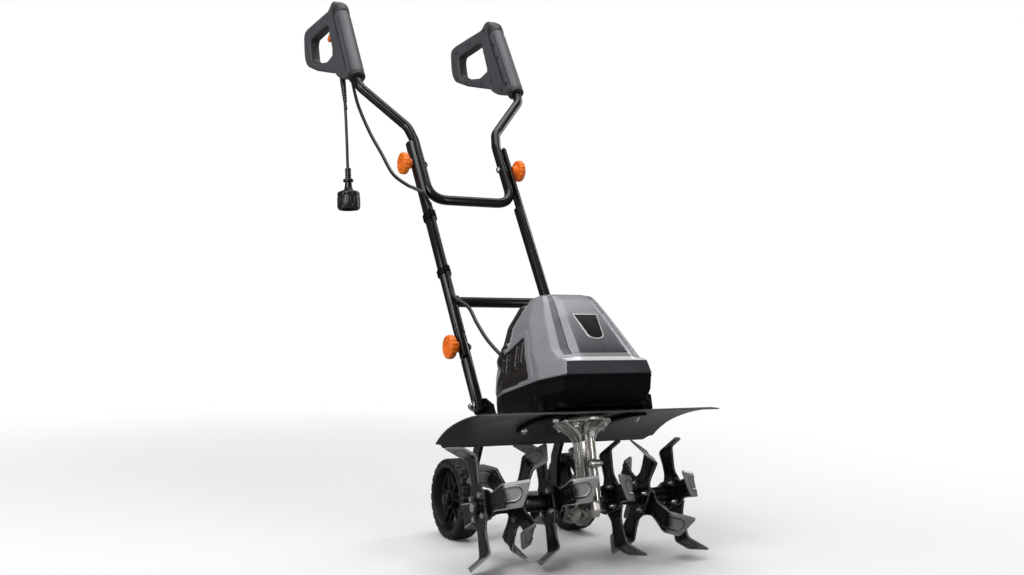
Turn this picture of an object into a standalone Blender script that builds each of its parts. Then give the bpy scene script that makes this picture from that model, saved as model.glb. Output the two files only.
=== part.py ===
"""Electric garden tiller: power head, worm drive, six tine discs, transport wheels, folding handle.

Frame: metres, +Z up, -Y is the front, +Y the operator's side, +X the right seen from the front.
"left" pieces lie at -X. Everything is drawn with y = 0 over the tine axle, then moved forward by
MID_Y, so that the origin is on the floor under the middle of the machine's length.
"""
import math

import bmesh
import bpy
from mathutils import Matrix, Vector

# ------------------------------------------------------------------ driving dimensions (m)
MID_Y = 0.4477               # middle of the machine's length, behind the tine axle
AXLE_Z = 0.1075              # tine axle height
PITCH = math.radians(15.8)   # the power head leans back by this much
GAP = 0.0003                 # clearance between pieces
SIDES = (("left", -1), ("right", 1))

AXLE_R = 0.0078              # tine axle
HUB_R = 0.0135
SHAFT_R = 0.0040             # worm shaft and armature shaft
BOLT_HOLE_R = 0.0033         # holes for the guard bolts and the clamp bolts

# Power head: x, y backwards and z up the leg, all from the tine axle
LEG_FORWARD = 0.0335         # worm axis in front of the tine axle = worm gear centre distance
SPUR_MODULE, PINION_TEETH, GEAR_TEETH = 0.00125, 12, 28
MOTOR_FORWARD = LEG_FORWARD - SPUR_MODULE * (PINION_TEETH + GEAR_TEETH) / 2
WORM_AXIS = (0, -LEG_FORWARD)
MOTOR_AXIS = (0, -MOTOR_FORWARD)
HEAD = Matrix.Translation((0, 0, AXLE_Z)) @ Matrix.Rotation(-PITCH, 4, 'X')

# Handle: joints are (y, z)
CARRIAGE_PIVOT = (0.2120, 0.2130)
LEG_PIVOT = (0.1965, 0.2500)
PIVOT_BOLT_R = 0.0040        # bolts in those two pivots
SLOPE = 0.71                 # dy/dz of the handle line
TUBE_R = 0.011               # lower legs and middle frame
UPPER_R = 0.010              # upper handle
FRAME_X = 0.1055             # x of the lower legs and middle tubes
UPPER_X = FRAME_X - UPPER_R - GAP    # the upper handle lies in the lapped tops of the middle tubes
LAP_HALF = 0.0290            # the half lap reaches this far to either side of the lower knob


def on_handle_line(z):
    return LEG_PIVOT[0] + (z - LEG_PIVOT[1]) * SLOPE, z


LOW_KNOB = on_handle_line(0.3535)
TOP_KNOB = on_handle_line(0.7120)
ALONG = Vector((0.0, SLOPE, 1.0)).normalized()        # up the handle
FRONT = Vector((0.0, -ALONG.z, ALONG.y))              # square to it, towards the front

# ------------------------------------------------------------------ scene and materials
for old_object in list(bpy.data.objects):
    bpy.data.objects.remove(old_object, do_unlink=True)
COLLECTION = bpy.data.collections.new("garden_tiller")
bpy.context.scene.collection.children.link(COLLECTION)


def make_material(name, rgb, roughness, metallic=0.0):
    material = bpy.data.materials.new(name)
    material.use_nodes = True
    shader = material.node_tree.nodes["Principled BSDF"]
    shader.inputs["Base Color"].default_value = (*rgb, 1)
    shader.inputs["Roughness"].default_value = roughness
    shader.inputs["Metallic"].default_value = metallic
    material.diffuse_color = (*rgb, 1)
    return material


BLACK = make_material("black_plastic", rgb=(0.02, 0.02, 0.022), roughness=0.45)
GREY = make_material("grey_shell", rgb=(0.27, 0.275, 0.29), roughness=0.35)
GRIP = make_material("grip_grey", rgb=(0.12, 0.12, 0.13), roughness=0.5)
PAINT = make_material("black_paint", rgb=(0.015, 0.015, 0.016), roughness=0.25)
GUARD = make_material("guard_grey", rgb=(0.09, 0.09, 0.095), roughness=0.4, metallic=0.3)
CAST = make_material("cast_aluminium", rgb=(0.62, 0.61, 0.58), roughness=0.35, metallic=1.0)
STEEL = make_material("bright_steel", rgb=(0.65, 0.65, 0.65), roughness=0.25, metallic=1.0)
ORANGE = make_material("orange_plastic", rgb=(0.9, 0.2, 0.02), roughness=0.4)
RUBBER = make_material("cable_rubber", rgb=(0.015, 0.015, 0.015), roughness=0.6)
TINE = make_material("tine_steel", rgb=(0.03, 0.03, 0.032), roughness=0.3, metallic=0.6)
LAMINATION = make_material("lamination_steel", rgb=(0.35, 0.35, 0.36), roughness=0.4, metallic=1.0)
BRONZE = make_material("bronze_gear", rgb=(0.6, 0.42, 0.15), roughness=0.35, metallic=1.0)


# ------------------------------------------------------------------ mesh helpers
def shade(mesh):
    mesh.shade_smooth()
    mesh.set_sharp_from_angle(angle=math.radians(35))


def mesh_object(name, bm, mat, smooth=True, matrix=None):
    mesh = bpy.data.meshes.new(name)
    bmesh.ops.recalc_face_normals(bm, faces=bm.faces)
    if bm.calc_volume(signed=True) < 0:
        bmesh.ops.reverse_faces(bm, faces=bm.faces)
    bm.to_mesh(mesh)
    bm.free()
    if matrix is not None:
        mesh.transform(matrix)
    ob = bpy.data.objects.new(name, mesh)
    COLLECTION.objects.link(ob)
    mesh.materials.append(mat)
    if smooth:
        shade(mesh)
    return ob


def evaluated_mesh(ob):
    bpy.context.view_layer.update()
    depsgraph = bpy.context.evaluated_depsgraph_get()
    return bpy.data.meshes.new_from_object(ob.evaluated_get(depsgraph))


def apply_modifiers(ob):
    mesh = evaluated_mesh(ob)
    ob.modifiers.clear()
    old_mesh = ob.data
    ob.data = mesh
    bpy.data.meshes.remove(old_mesh)


def boolean(ob, tools, operation):
    """Apply each tool to ob in turn and use it up."""
    for tool in tools:
        modifier = ob.modifiers.new(operation.lower(), 'BOOLEAN')
        modifier.operation = operation
        modifier.solver = 'EXACT'
        modifier.object = tool
        apply_modifiers(ob)
        bpy.data.objects.remove(tool, do_unlink=True)
    bm = bmesh.new()
    bm.from_mesh(ob.data)
    bmesh.ops.remove_doubles(bm, verts=bm.verts, dist=1e-6)
    bmesh.ops.dissolve_degenerate(bm, edges=bm.edges, dist=1e-6)
    bm.to_mesh(ob.data)
    bm.free()
    shade(ob.data)
    return ob


def union(ob, *tools):
    return boolean(ob, tools, 'UNION')


def cut(ob, *tools):
    return boolean(ob, tools, 'DIFFERENCE')


def common(ob, *tools):
    return boolean(ob, tools, 'INTERSECT')


def copy(ob, name):
    twin = ob.copy()
    twin.data = ob.data.copy()
    twin.name = name
    COLLECTION.objects.link(twin)
    return twin


def bevel(ob, width, segments=2, angle=35):
    modifier = ob.modifiers.new('bevel', 'BEVEL')
    modifier.width = width
    modifier.segments = segments
    modifier.limit_method = 'ANGLE'
    modifier.angle_limit = math.radians(angle)
    apply_modifiers(ob)
    shade(ob.data)
    return ob


def pivot(ob, y, z, x=0.0):
    """Put the origin of a moving piece on its joint axis."""
    ob.data.transform(Matrix.Translation((-x, -y, -z)))
    ob.location = (x, y, z)


# ------------------------------------------------------------------ shape helpers
def span(side, inner, outer):
    """The x range between two distances from the middle, on one side (-1 or 1)."""
    return sorted((side * inner, side * outer))


def box(name, x, y, z, mat=BLACK, matrix=None):
    """Box from three (low, high) ranges."""
    bm = bmesh.new()
    bmesh.ops.create_cube(bm, size=1.0)
    middle = ((x[0] + x[1]) / 2, (y[0] + y[1]) / 2, (z[0] + z[1]) / 2)
    size = (x[1] - x[0], y[1] - y[0], z[1] - z[0], 1)
    bm.transform(Matrix.Translation(middle) @ Matrix.Diagonal(size))
    return mesh_object(name, bm, mat, False, matrix)


def cylinder(name, axis, ends, centre, radius, segments, mat=STEEL, matrix=None):
    """Cylinder along X or Z between two ends; centre holds the other two coordinates."""
    start, end = ends
    bm = bmesh.new()
    bmesh.ops.create_cone(bm, cap_ends=True, segments=segments, radius1=radius, radius2=radius,
                          depth=end - start)
    middle = (start + end) / 2
    if axis == 'X':
        place = Matrix.Translation((middle, *centre)) @ Matrix.Rotation(math.pi / 2, 4, 'Y')
    else:
        place = Matrix.Translation((*centre, middle))
    bm.transform(place)
    return mesh_object(name, bm, mat, True, matrix)


def cylinders(name, axis, centre, steps, mat=STEEL, side=1, matrix=None):
    """Coaxial cylinders; a step is (start, end, radius, segments)."""
    return [cylinder(name, axis, span(side, start, end), centre, radius, segments, mat, matrix)
            for start, end, radius, segments in steps]


def stepped(*args, **kwargs):
    """One body out of coaxial cylinders."""
    return union(*cylinders(*args, **kwargs))


def hole(centre, radius, segments):
    """Cutter along x through the whole width of the frame."""
    return cylinder("hole", 'X', (-0.2, 0.2), centre, radius, segments)


def head_hole(ends, centre, radius, segments):
    """Cutter along the power head's z."""
    return cylinder("hole", 'Z', ends, centre, radius, segments, matrix=HEAD)


def towards(start, end):
    return Vector((0, 0, 1)).rotation_difference(end - start).to_matrix().to_4x4()


def rod(name, start, end, radius, mat, segments=16):
    start, end = Vector(start), Vector(end)
    bm = bmesh.new()
    bmesh.ops.create_cone(bm, cap_ends=True, segments=segments, radius1=radius, radius2=radius,
                          depth=(end - start).length)
    bm.transform(Matrix.Translation((start + end) / 2) @ towards(start, end))
    return mesh_object(name, bm, mat)


def loft(name, rings, mat, matrix=None, smooth=True):
    """Closed body through rings of equal length, each a list of (x, y, z)."""
    bm = bmesh.new()
    rows = [[bm.verts.new(point) for point in ring] for ring in rings]
    count = len(rows[0])
    for row, next_row in zip(rows, rows[1:]):
        for i in range(count):
            j = (i + 1) % count
            bm.faces.new((row[i], row[j], next_row[j], next_row[i]))
    bm.faces.new(rows[0])
    bm.faces.new(list(reversed(rows[-1])))
    return mesh_object(name, bm, mat, smooth, matrix)


def turned(name, start, end, profile, mat, segments):
    """Solid of revolution round start-end; profile rows are (distance from start, radius)."""
    turns = [2 * math.pi * i / segments for i in range(segments)]
    rings = [[(radius * math.cos(turn), radius * math.sin(turn), distance) for turn in turns]
             for distance, radius in profile]
    return loft(name, rings, mat, Matrix.Translation(start) @ towards(start, end))


def prism(name, outline, ends, mat=BLACK, matrix=None):
    """A (y, z) outline pulled along x."""
    bm = bmesh.new()
    face = bm.faces.new([bm.verts.new((ends[0], y, z)) for y, z in outline])
    pulled = bmesh.ops.extrude_face_region(bm, geom=[face])['geom']
    verts = [item for item in pulled if isinstance(item, bmesh.types.BMVert)]
    bmesh.ops.translate(bm, verts=verts, vec=(ends[1] - ends[0], 0, 0))
    return mesh_object(name, bm, mat, False, matrix)


def polar(centre, radius, angle):
    return centre[0] + radius * math.cos(angle), centre[1] + radius * math.sin(angle)


def arc(centre, radius, start, end, steps):
    """(y, z) points on an arc; angles in degrees from +y."""
    return [polar(centre, radius, math.radians(start + (end - start) * i / steps))
            for i in range(steps + 1)]


def fillet(points, radii):
    """Round the corners of a polyline in space, with one radius or one for each corner."""
    steps = 3
    path = [Vector(points[0])]
    for i in range(1, len(points) - 1):
        before, corner, after = (Vector(point) for point in points[i - 1:i + 2])
        back, ahead = (before - corner).normalized(), (after - corner).normalized()
        radius = radii[i - 1] if isinstance(radii, list) else radii
        trim = min(radius / math.tan(back.angle(ahead) / 2), (before - corner).length * 0.49,
                   (after - corner).length * 0.49)
        start, end = corner + back * trim, corner + ahead * trim
        for k in range(steps + 1):
            t = k / steps
            path.append(start.lerp(corner, t).lerp(corner.lerp(end, t), t))
    path.append(Vector(points[-1]))
    return path


def tube(name, points, radius, mat):
    """Round bar along a path."""
    curve = bpy.data.curves.new(name, 'CURVE')
    curve.dimensions = '3D'
    curve.bevel_depth = radius
    curve.bevel_resolution = 2
    curve.use_fill_caps = True
    spline = curve.splines.new('POLY')
    spline.points.add(len(points) - 1)
    for spline_point, point in zip(spline.points, points):
        spline_point.co = (*point, 1)
    path = bpy.data.objects.new(name + "_path", curve)
    COLLECTION.objects.link(path)
    mesh = evaluated_mesh(path)
    bm = bmesh.new()
    bm.from_mesh(mesh)
    bmesh.ops.remove_doubles(bm, verts=bm.verts, dist=1e-6)
    bpy.data.objects.remove(path, do_unlink=True)
    bpy.data.meshes.remove(mesh)
    return mesh_object(name, bm, mat)


# ------------------------------------------------------------------ deck guard and its rails
GUARD_HALF, GUARD_T = 0.225, 0.003
# top line of the sheet from its rear edge to its front edge: (y, z) in the power head
GUARD_LINE = [
    (0.0995, 0.1130), (0.0880, 0.1195), (0.0755, 0.1252), (0.0550, 0.1322), (0.0300, 0.1380),
    (0.0000, 0.1417), (-0.0350, 0.1433), (-0.0700, 0.1425), (-0.1000, 0.1398), (-0.1285, 0.1352)]
RAIL_HALF = 0.009
# side outline of a rail: (y, z) in the power head
RAIL_OUTLINE = [
    (-0.105, 0.1290), (-0.105, 0.1350), (-0.070, 0.1384), (-0.035, 0.1393), (0.000, 0.1376),
    (0.030, 0.1340), (0.045, 0.1308), (0.045, 0.1250), (0.020, 0.1300), (-0.035, 0.1330)]
GUARD_BOLT_X, GUARD_BOLT_YS = 0.080, (0.030, -0.085)
GUARD_BOLT_STEPS = [(0.1300, 0.1520, 0.0028, 12), (0.1240, 0.1310, 0.0060, 6)]   # shank, head


def sheet_outline(line, thickness):
    """Closed outline of a sheet under an open line."""
    under = []
    for i, (y, z) in enumerate(line):
        before, after = line[max(i - 1, 0)], line[min(i + 1, len(line) - 1)]
        dy, dz = after[0] - before[0], after[1] - before[1]
        length = math.hypot(dy, dz)
        under.append((y + thickness * dz / length, z - thickness * dy / length))
    return list(line) + under[::-1]


def cut_guard_bolt_holes(ob, ends):
    for _, side in SIDES:
        for y in GUARD_BOLT_YS:
            ob = cut(ob, head_hole(ends, (side * GUARD_BOLT_X, y), BOLT_HOLE_R, 12))
    return ob


def build_guard():
    """Curved sheet with clipped rear corners, a hole for the gearbox neck and bolt holes."""
    guard = prism("deck_guard", sheet_outline(GUARD_LINE[::-1], GUARD_T),
                  (-GUARD_HALF, GUARD_HALF), GUARD, HEAD)
    for _, side in SIDES:
        low, high = (HEAD @ Vector((side * GUARD_HALF, GUARD_LINE[0][0], z)) for z in (0.09, 0.13))
        guard = cut(guard, rod("corner", low, high, 0.007, GUARD, 4))
    guard = cut(guard, head_hole((0.12, 0.16), WORM_AXIS, 0.0190, 24))
    cut_guard_bolt_holes(guard, (0.10, 0.17))


def build_guard_rail(label, side):
    """Rail under the sheet, with the two bolts that pass through sheet and motor base."""
    x = side * GUARD_BOLT_X
    rail = prism("guard_rail_" + label, RAIL_OUTLINE, (x - RAIL_HALF, x + RAIL_HALF), BLACK, HEAD)
    for y in GUARD_BOLT_YS:
        rail = union(rail, *cylinders("bolt", 'Z', (x, y), GUARD_BOLT_STEPS, matrix=HEAD))


# ------------------------------------------------------------------ gearbox case
# leg, round mounting flange and neck: (half width, half depth, z, corner radius)
CASE_RINGS = [
    (0.0085, 0.0150, -0.0330, 0.0080), (0.0130, 0.0225, -0.0220, 0.0080),
    (0.0130, 0.0225, 0.0960, 0.0080), (0.0180, 0.0240, 0.1080, 0.0120),
    (0.0300, 0.0330, 0.1175, 0.0250), (0.0480, 0.0480, 0.1275, 0.0470),
    (0.0500, 0.0500, 0.1285, 0.0490), (0.0500, 0.0500, 0.1352, 0.0490),
    (0.0175, 0.0175, 0.1353, 0.0170), (0.0175, 0.0175, 0.1530, 0.0170)]
GEAR_HOUSING_HALF = 0.0150
# drum round the worm wheel, from its left end: (distance, radius)
GEAR_HOUSING = [
    (0.0, 0.0150), (0.0020, 0.0330), (0.0060, 0.0400), (0.0110, 0.0400), (0.01105, 0.0440),
    (0.01895, 0.0440), (0.0190, 0.0400), (0.0240, 0.0400), (0.0280, 0.0330), (0.0300, 0.0150)]
# screw lugs on the split line: (y, z)
LUGS = [(-LEG_FORWARD - 0.0290, 0.0560), (0.0300, -0.0310), (-LEG_FORWARD + 0.0290, 0.0850)]


def rounded_ring(half_width, half_depth, z, corner):
    """Round-cornered rectangle about the worm axis."""
    corner_steps = 4
    ring = []
    for quarter, (sx, sy) in enumerate(((1, 1), (-1, 1), (-1, -1), (1, -1))):
        for k in range(corner_steps):
            angle = math.pi / 2 * (quarter + (k + 0.5) / corner_steps)
            ring.append((sx * (half_width - corner) + corner * math.cos(angle),
                         sy * (half_depth - corner) + corner * math.sin(angle) - LEG_FORWARD, z))
    return ring


def build_gearbox_case():
    """Two castings split at x = 0."""
    case = loft("gearbox_case", [rounded_ring(*row) for row in CASE_RINGS], CAST, HEAD)
    case = union(case, turned("housing", HEAD @ Vector((-GEAR_HOUSING_HALF, 0, 0)),
                              HEAD @ Vector((GEAR_HOUSING_HALF, 0, 0)), GEAR_HOUSING, CAST, 24))
    # split-line rib down the leg, and the lugs on it
    case = union(case, box("rib", (-0.0038, 0.0038), (-LEG_FORWARD - 0.0275, -LEG_FORWARD + 0.0272),
                           (-0.0080, 0.1150), CAST, HEAD))
    for centre in LUGS:
        case = union(case, cylinder("lug", 'X', (-0.0105, 0.0105), centre, 0.0064, 12, CAST, HEAD))
    # bores for the worm shaft, the worm wheel and the tine axle
    bores = union(head_hole((-0.0262, 0.1600), WORM_AXIS, 0.0108, 16),
                  cylinder("bore", 'X', (-0.0085, 0.0085), (0, 0), 0.0310, 24, matrix=HEAD),
                  cylinder("bore", 'X', (-0.05, 0.05), (0, 0), AXLE_R + GAP, 16, matrix=HEAD))
    case = cut(case, bores)
    for label, side in SIDES:
        half_space = box("half", span(side, GAP / 2, 0.2), (-0.3, 0.3), (-0.3, 0.3), matrix=HEAD)
        common(copy(case, "gearbox_case_" + label), half_space)
    bpy.data.objects.remove(case, do_unlink=True)


# ------------------------------------------------------------------ worm shaft and gears
WORM_MODULE, WORM_TEETH = 0.0026, 20     # module, teeth of the worm wheel
WORM_PITCH_R = 0.0075
WORM_LEAD = math.pi * WORM_MODULE
WORM_LENGTH = 0.0245
WORM_SIDES = 10              # points round the worm, and rings along one lead
WORM_END_R = 0.0045
# shaft through the worm, thicker length, collar: (from z, to z, radius, segments)
WORM_SHAFT_STEPS = [
    (-0.0250, 0.1700, SHAFT_R, 16), (0.0250, 0.1100, 0.0060, 16), (0.1540, 0.1605, 0.0070, 16)]
SPUR_TOOTH_SHARE = 0.42


def thread_radius(leads):
    """Worm radius at a distance from the middle of the thread, counted in leads."""
    crest = WORM_PITCH_R + 0.90 * WORM_MODULE
    root = WORM_PITCH_R - 1.10 * WORM_MODULE
    crest_end, root_start = 0.10, 0.27
    distance = abs((leads + 0.5) % 1.0 - 0.5)
    if distance <= crest_end:
        return crest
    if distance >= root_start:
        return root
    return crest + (root - crest) * (distance - crest_end) / (root_start - crest_end)


def build_worm_shaft():
    count = int(round(WORM_LENGTH / WORM_LEAD * WORM_SIDES))
    rings = []
    for k in range(count + 1):
        z = -WORM_LENGTH / 2 + k * WORM_LEAD / WORM_SIDES
        ring = []
        for i in range(WORM_SIDES):
            angle = 2 * math.pi * i / WORM_SIDES
            inside = 0 < k < count
            radius = thread_radius(z / WORM_LEAD - i / WORM_SIDES) if inside else WORM_END_R
            ring.append((radius * math.cos(angle), radius * math.sin(angle) - LEG_FORWARD, z))
        rings.append(ring)
    worm = loft("worm_shaft", rings, STEEL, HEAD)
    union(worm, *cylinders("shaft", 'Z', WORM_AXIS, WORM_SHAFT_STEPS, matrix=HEAD))


def toothed(name, teeth, module, ends, share, mat, rotation, twist=0.0, sections=2, axis='Z',
            centre=(0, 0), addendum=1.0, dedendum=1.25):
    """Straight-flank gear in the power head; share is the tooth's part of the pitch."""
    pitch_radius = teeth * module / 2
    root, tip = pitch_radius - dedendum * module, pitch_radius + addendum * module
    root_spread, tip_pinch = 0.12, 0.10      # flank slope, as parts of the pitch
    pitch = 2 * math.pi / teeth
    profile = []
    for i in range(teeth):
        tooth = 2 * math.pi * i / teeth
        for part, radius in ((-share * 0.5 - root_spread, root), (-share * 0.5 + tip_pinch, tip),
                             (share * 0.5 - tip_pinch, tip), (share * 0.5 + root_spread, root)):
            profile.append((tooth + part * pitch, radius))
    rings = []
    for k in range(sections):
        position = ends[0] + (ends[1] - ends[0]) * (k / (sections - 1))
        turn = rotation + twist * (position - (ends[0] + ends[1]) / 2)
        flat = [polar(centre, radius, angle + turn) for angle, radius in profile]
        rings.append([(*p, position) if axis == 'Z' else (position, *p) for p in flat])
    return loft(name, rings, mat, HEAD, False)


def build_reduction_gear():
    gear = toothed("reduction_gear", GEAR_TEETH, SPUR_MODULE, (0.1610, 0.1700), SPUR_TOOTH_SHARE,
                   STEEL, rotation=math.pi / 2, centre=WORM_AXIS)
    cut(gear, head_hole((0.15, 0.18), WORM_AXIS, SHAFT_R + GAP, 16))


def build_worm_wheel():
    lead_angle = math.atan(WORM_LEAD / (2 * math.pi * WORM_PITCH_R))
    full_twist = lead_angle / (WORM_TEETH * WORM_MODULE / 2)
    wheel = toothed("worm_wheel", WORM_TEETH, WORM_MODULE, (-0.0070, 0.0070), 0.36, BRONZE,
                    rotation=math.pi + math.pi / (2 * WORM_TEETH), twist=full_twist * 0.9,
                    sections=3, axis='X', addendum=0.85, dedendum=1.10)
    cut(wheel, cylinder("bore", 'X', (-0.02, 0.02), (0, 0), AXLE_R + GAP, 24, matrix=HEAD))


# ------------------------------------------------------------------ tine axle, hubs, bent bars
TINE_PHASE = math.radians(22.0)   # upright blade leans back by this much
FIRST_DISC_X, DISC_PITCH = 0.0620, 0.0645
# (name, distance from the middle, phase)
DISCS = [("inner", FIRST_DISC_X, TINE_PHASE),
         ("middle", FIRST_DISC_X + DISC_PITCH, TINE_PHASE + math.radians(45)),
         ("outer", FIRST_DISC_X + 2 * DISC_PITCH, TINE_PHASE)]
FLANGE_HALF, FLANGE_HALF_T = 0.0250, 0.0020
DISC_BOLT_CIRCLE = 0.0240
TINE_T = 0.0035
TINE_HALF = 0.0214           # half width of a blade past its waist
TINE_BEND_R = 0.083          # distance from the axle at which a blade bends sideways
TINE_BEND = math.radians(58.4)
TINE_BEND_STEPS = 2
BEND_LEAD_IN, BEND_ARC_R = 0.006, 0.0085
TIP_TRIM = 0.0025            # taken off both tip lengths
TINE_SHORT, TINE_LONG = 0.0257, 0.0452   # length of the bent tip along its two edges
# flat part of a blade: (distance from the axle, half width)
TINE_FLAT = [(0.0, 0.0255), (0.0255, 0.0255), (0.0370, 0.0165), (0.0480, 0.0165),
             (TINE_BEND_R - BEND_LEAD_IN, TINE_HALF)]


def build_tine_axle():
    cylinder("tine_axle", 'X', (-0.2080, 0.2080), (0, AXLE_Z), AXLE_R, 16)


def disc_bolt_centres(phase):
    angles = [phase + math.radians(45 + 90 * quarter) for quarter in range(4)]
    return [(DISC_BOLT_CIRCLE * math.sin(angle), AXLE_Z + DISC_BOLT_CIRCLE * math.cos(angle))
            for angle in angles]


def tine_stations():
    """Stations out along a blade: (long edge point, short edge point, bend angle).

    A point is (distance from the axle, sideways offset, place across the blade).
    """
    stations = [((r, 0.0, -half), (r, 0.0, half), 0.0) for r, half in TINE_FLAT]
    for k in range(1, TINE_BEND_STEPS + 1):
        angle = TINE_BEND * k / TINE_BEND_STEPS
        reach = TINE_BEND_R - BEND_LEAD_IN + BEND_ARC_R * math.sin(angle)
        offset = BEND_ARC_R * (1 - math.cos(angle))
        stations.append(((reach, offset, -TINE_HALF), (reach, offset, TINE_HALF), angle))

    def on_tip(distance, across):
        return (reach + distance * math.cos(TINE_BEND), offset + distance * math.sin(TINE_BEND),
                across)

    stations.append((on_tip(TINE_LONG - TIP_TRIM - 0.010, -TINE_HALF),
                     on_tip(TINE_SHORT - TIP_TRIM - 0.004, TINE_HALF), TINE_BEND))
    stations.append((on_tip(TINE_LONG - TIP_TRIM, -TINE_HALF + 0.003),
                     on_tip(TINE_SHORT - TIP_TRIM, TINE_HALF - 0.002), TINE_BEND))
    return stations


def tine_section(station, end, x, side):
    """Four corners of the bar's section; end is -1 for the opposite blade."""
    long_edge, short_edge, angle = station
    normal = (-math.sin(angle) * TINE_T / 2, math.cos(angle) * TINE_T / 2)
    corners = []
    for (r, o, across), face in ((long_edge, -1), (long_edge, 1), (short_edge, 1), (short_edge, -1)):
        reach, offset = r + face * normal[0], o + face * normal[1]
        corners.append((x + side * offset, end * reach, end * across))
    return corners if end > 0 else corners[::-1]


def build_tine_bar(name, x, side, angle):
    """Flat bar with both ends bent towards side; half a turn brings it onto itself."""
    stations = tine_stations()
    rings = [tine_section(station, -1, x, side) for station in stations[::-1]]
    rings += [tine_section(station, 1, x, side) for station in stations[1:]]
    place = Matrix.Translation((0, 0, AXLE_Z)) @ Matrix.Rotation(math.pi / 2 - angle, 4, 'X')
    bar = loft(name, rings, TINE, place)
    ends = (x - 0.01, x + 0.01)
    bar = cut(bar, cylinder("hole", 'X', ends, (0, AXLE_Z), HUB_R + GAP, 16))
    for centre in disc_bolt_centres(angle):
        bar = cut(bar, cylinder("hole", 'X', ends, centre, 0.0034, 6))


def build_tine_hub(label, side):
    """Tube with three square flanges and the bolts through them."""
    hub = cylinder("tine_hub_" + label, 'X', span(side, 0.0460, 0.2060), (0, AXLE_Z), HUB_R, 16,
                   PAINT)
    for _, x, phase in DISCS:
        place = Matrix.Translation((side * x, 0, AXLE_Z)) @ Matrix.Rotation(-phase, 4, 'X')
        hub = union(hub, box("flange", (-FLANGE_HALF_T, FLANGE_HALF_T), (-FLANGE_HALF, FLANGE_HALF),
                             (-FLANGE_HALF, FLANGE_HALF), PAINT, place))
        steps = [(x - 0.0088, x + 0.0065, 0.0029, 6), (x + 0.0061, x + 0.0100, 0.0050, 6)]
        for centre in disc_bolt_centres(phase):
            hub = union(hub, *cylinders("bolt", 'X', centre, steps, side=side))
    cut(hub, cylinder("bore", 'X', (-0.25, 0.25), (0, AXLE_Z), AXLE_R + GAP, 16))


def build_tine_discs(label, side):
    """Bar a lies on a flange's outboard face and bends outwards, bar b inboard and inwards."""
    offset = FLANGE_HALF_T + GAP + TINE_T / 2
    for disc, x, phase in DISCS:
        name = "tine_%s_%s_" % (disc, label)
        build_tine_bar(name + "a", side * (x + offset), side, phase)
        build_tine_bar(name + "b", side * (x - offset), -side, phase + math.pi / 2)


# ------------------------------------------------------------------ wheels and their carriage
WHEEL_SIDES = 20
WHEEL_R = 0.0750
WHEEL_Z = WHEEL_R * math.cos(math.pi / WHEEL_SIDES)    # the tyre stands on one flat facet
WHEEL_CENTRE = (0.2409, WHEEL_Z)
WHEEL_X0, WHEEL_X1 = 0.103, 0.145        # inner and outer face
WHEEL_AXLE_R = 0.0050
# closed section of tyre, web and hub: (radius, distance from the middle)
WHEEL_PROFILE = [
    (0.0570, WHEEL_X0), (WHEEL_R - 0.0025, WHEEL_X0), (WHEEL_R, WHEEL_X0 + 0.004),
    (WHEEL_R, WHEEL_X1 - 0.004), (WHEEL_R - 0.0025, WHEEL_X1), (0.0590, WHEEL_X1),
    (0.0560, 0.1330), (0.0200, 0.1270), (0.0170, 0.1400), (0.0056, 0.1400),
    (0.0056, WHEEL_X0), (0.0160, WHEEL_X0), (0.0180, 0.1220), (0.0540, 0.1270)]
WEB_HOLES, WEB_HOLE_CIRCLE, WEB_HOLE_R = 6, 0.0370, 0.0115
ARM_X, ARM_HALF_T = 0.0860, 0.0035


def build_wheel(label, side):
    bm = bmesh.new()
    grid = []
    for i in range(WHEEL_SIDES):
        angle = 2 * math.pi * (i + 0.5) / WHEEL_SIDES
        grid.append([bm.verts.new((side * x, *polar(WHEEL_CENTRE, radius, angle)))
                     for radius, x in WHEEL_PROFILE])
    for i, row in enumerate(grid):
        next_row = grid[(i + 1) % WHEEL_SIDES]
        for j in range(len(WHEEL_PROFILE)):
            k = (j + 1) % len(WHEEL_PROFILE)
            bm.faces.new((row[j], row[k], next_row[k], next_row[j]))
    wheel = mesh_object("wheel_" + label, bm, BLACK)
    for i in range(WEB_HOLES):
        centre = polar(WHEEL_CENTRE, WEB_HOLE_CIRCLE, 2 * math.pi * (i + 0.5) / WEB_HOLES)
        wheel = cut(wheel, cylinder("hole", 'X', span(side, 0.11, 0.15), centre, WEB_HOLE_R, 8))
    pivot(wheel, *WHEEL_CENTRE)


def build_wheel_axle():
    """Axle with a hexagonal head at each end."""
    axle = cylinder("wheel_axle", 'X', (-0.1470, 0.1470), WHEEL_CENTRE, WHEEL_AXLE_R, 16)
    for _, side in SIDES:
        ends = span(side, 0.1415, 0.1480)
        axle = union(axle, cylinder("head", 'X', ends, WHEEL_CENTRE, 0.0100, 6))
    pivot(axle, *CARRIAGE_PIVOT)


def build_wheel_arm(label, side):
    outline = arc(CARRIAGE_PIVOT, 0.0115, 20, 190, 6) + [(0.2310, 0.1400)]
    outline += arc(WHEEL_CENTRE, 0.0120, 180, 360, 6) + [(0.2550, 0.1430)]
    arm = prism("wheel_arm_" + label, outline, (side * ARM_X - ARM_HALF_T, side * ARM_X + ARM_HALF_T))
    arm = cut(arm, hole(WHEEL_CENTRE, WHEEL_AXLE_R + GAP, 16),
              hole(CARRIAGE_PIVOT, PIVOT_BOLT_R + GAP, 16))
    pivot(arm, *CARRIAGE_PIVOT)


# ------------------------------------------------------------------ motor base, cover, vents
WALL = 0.0035
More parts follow.
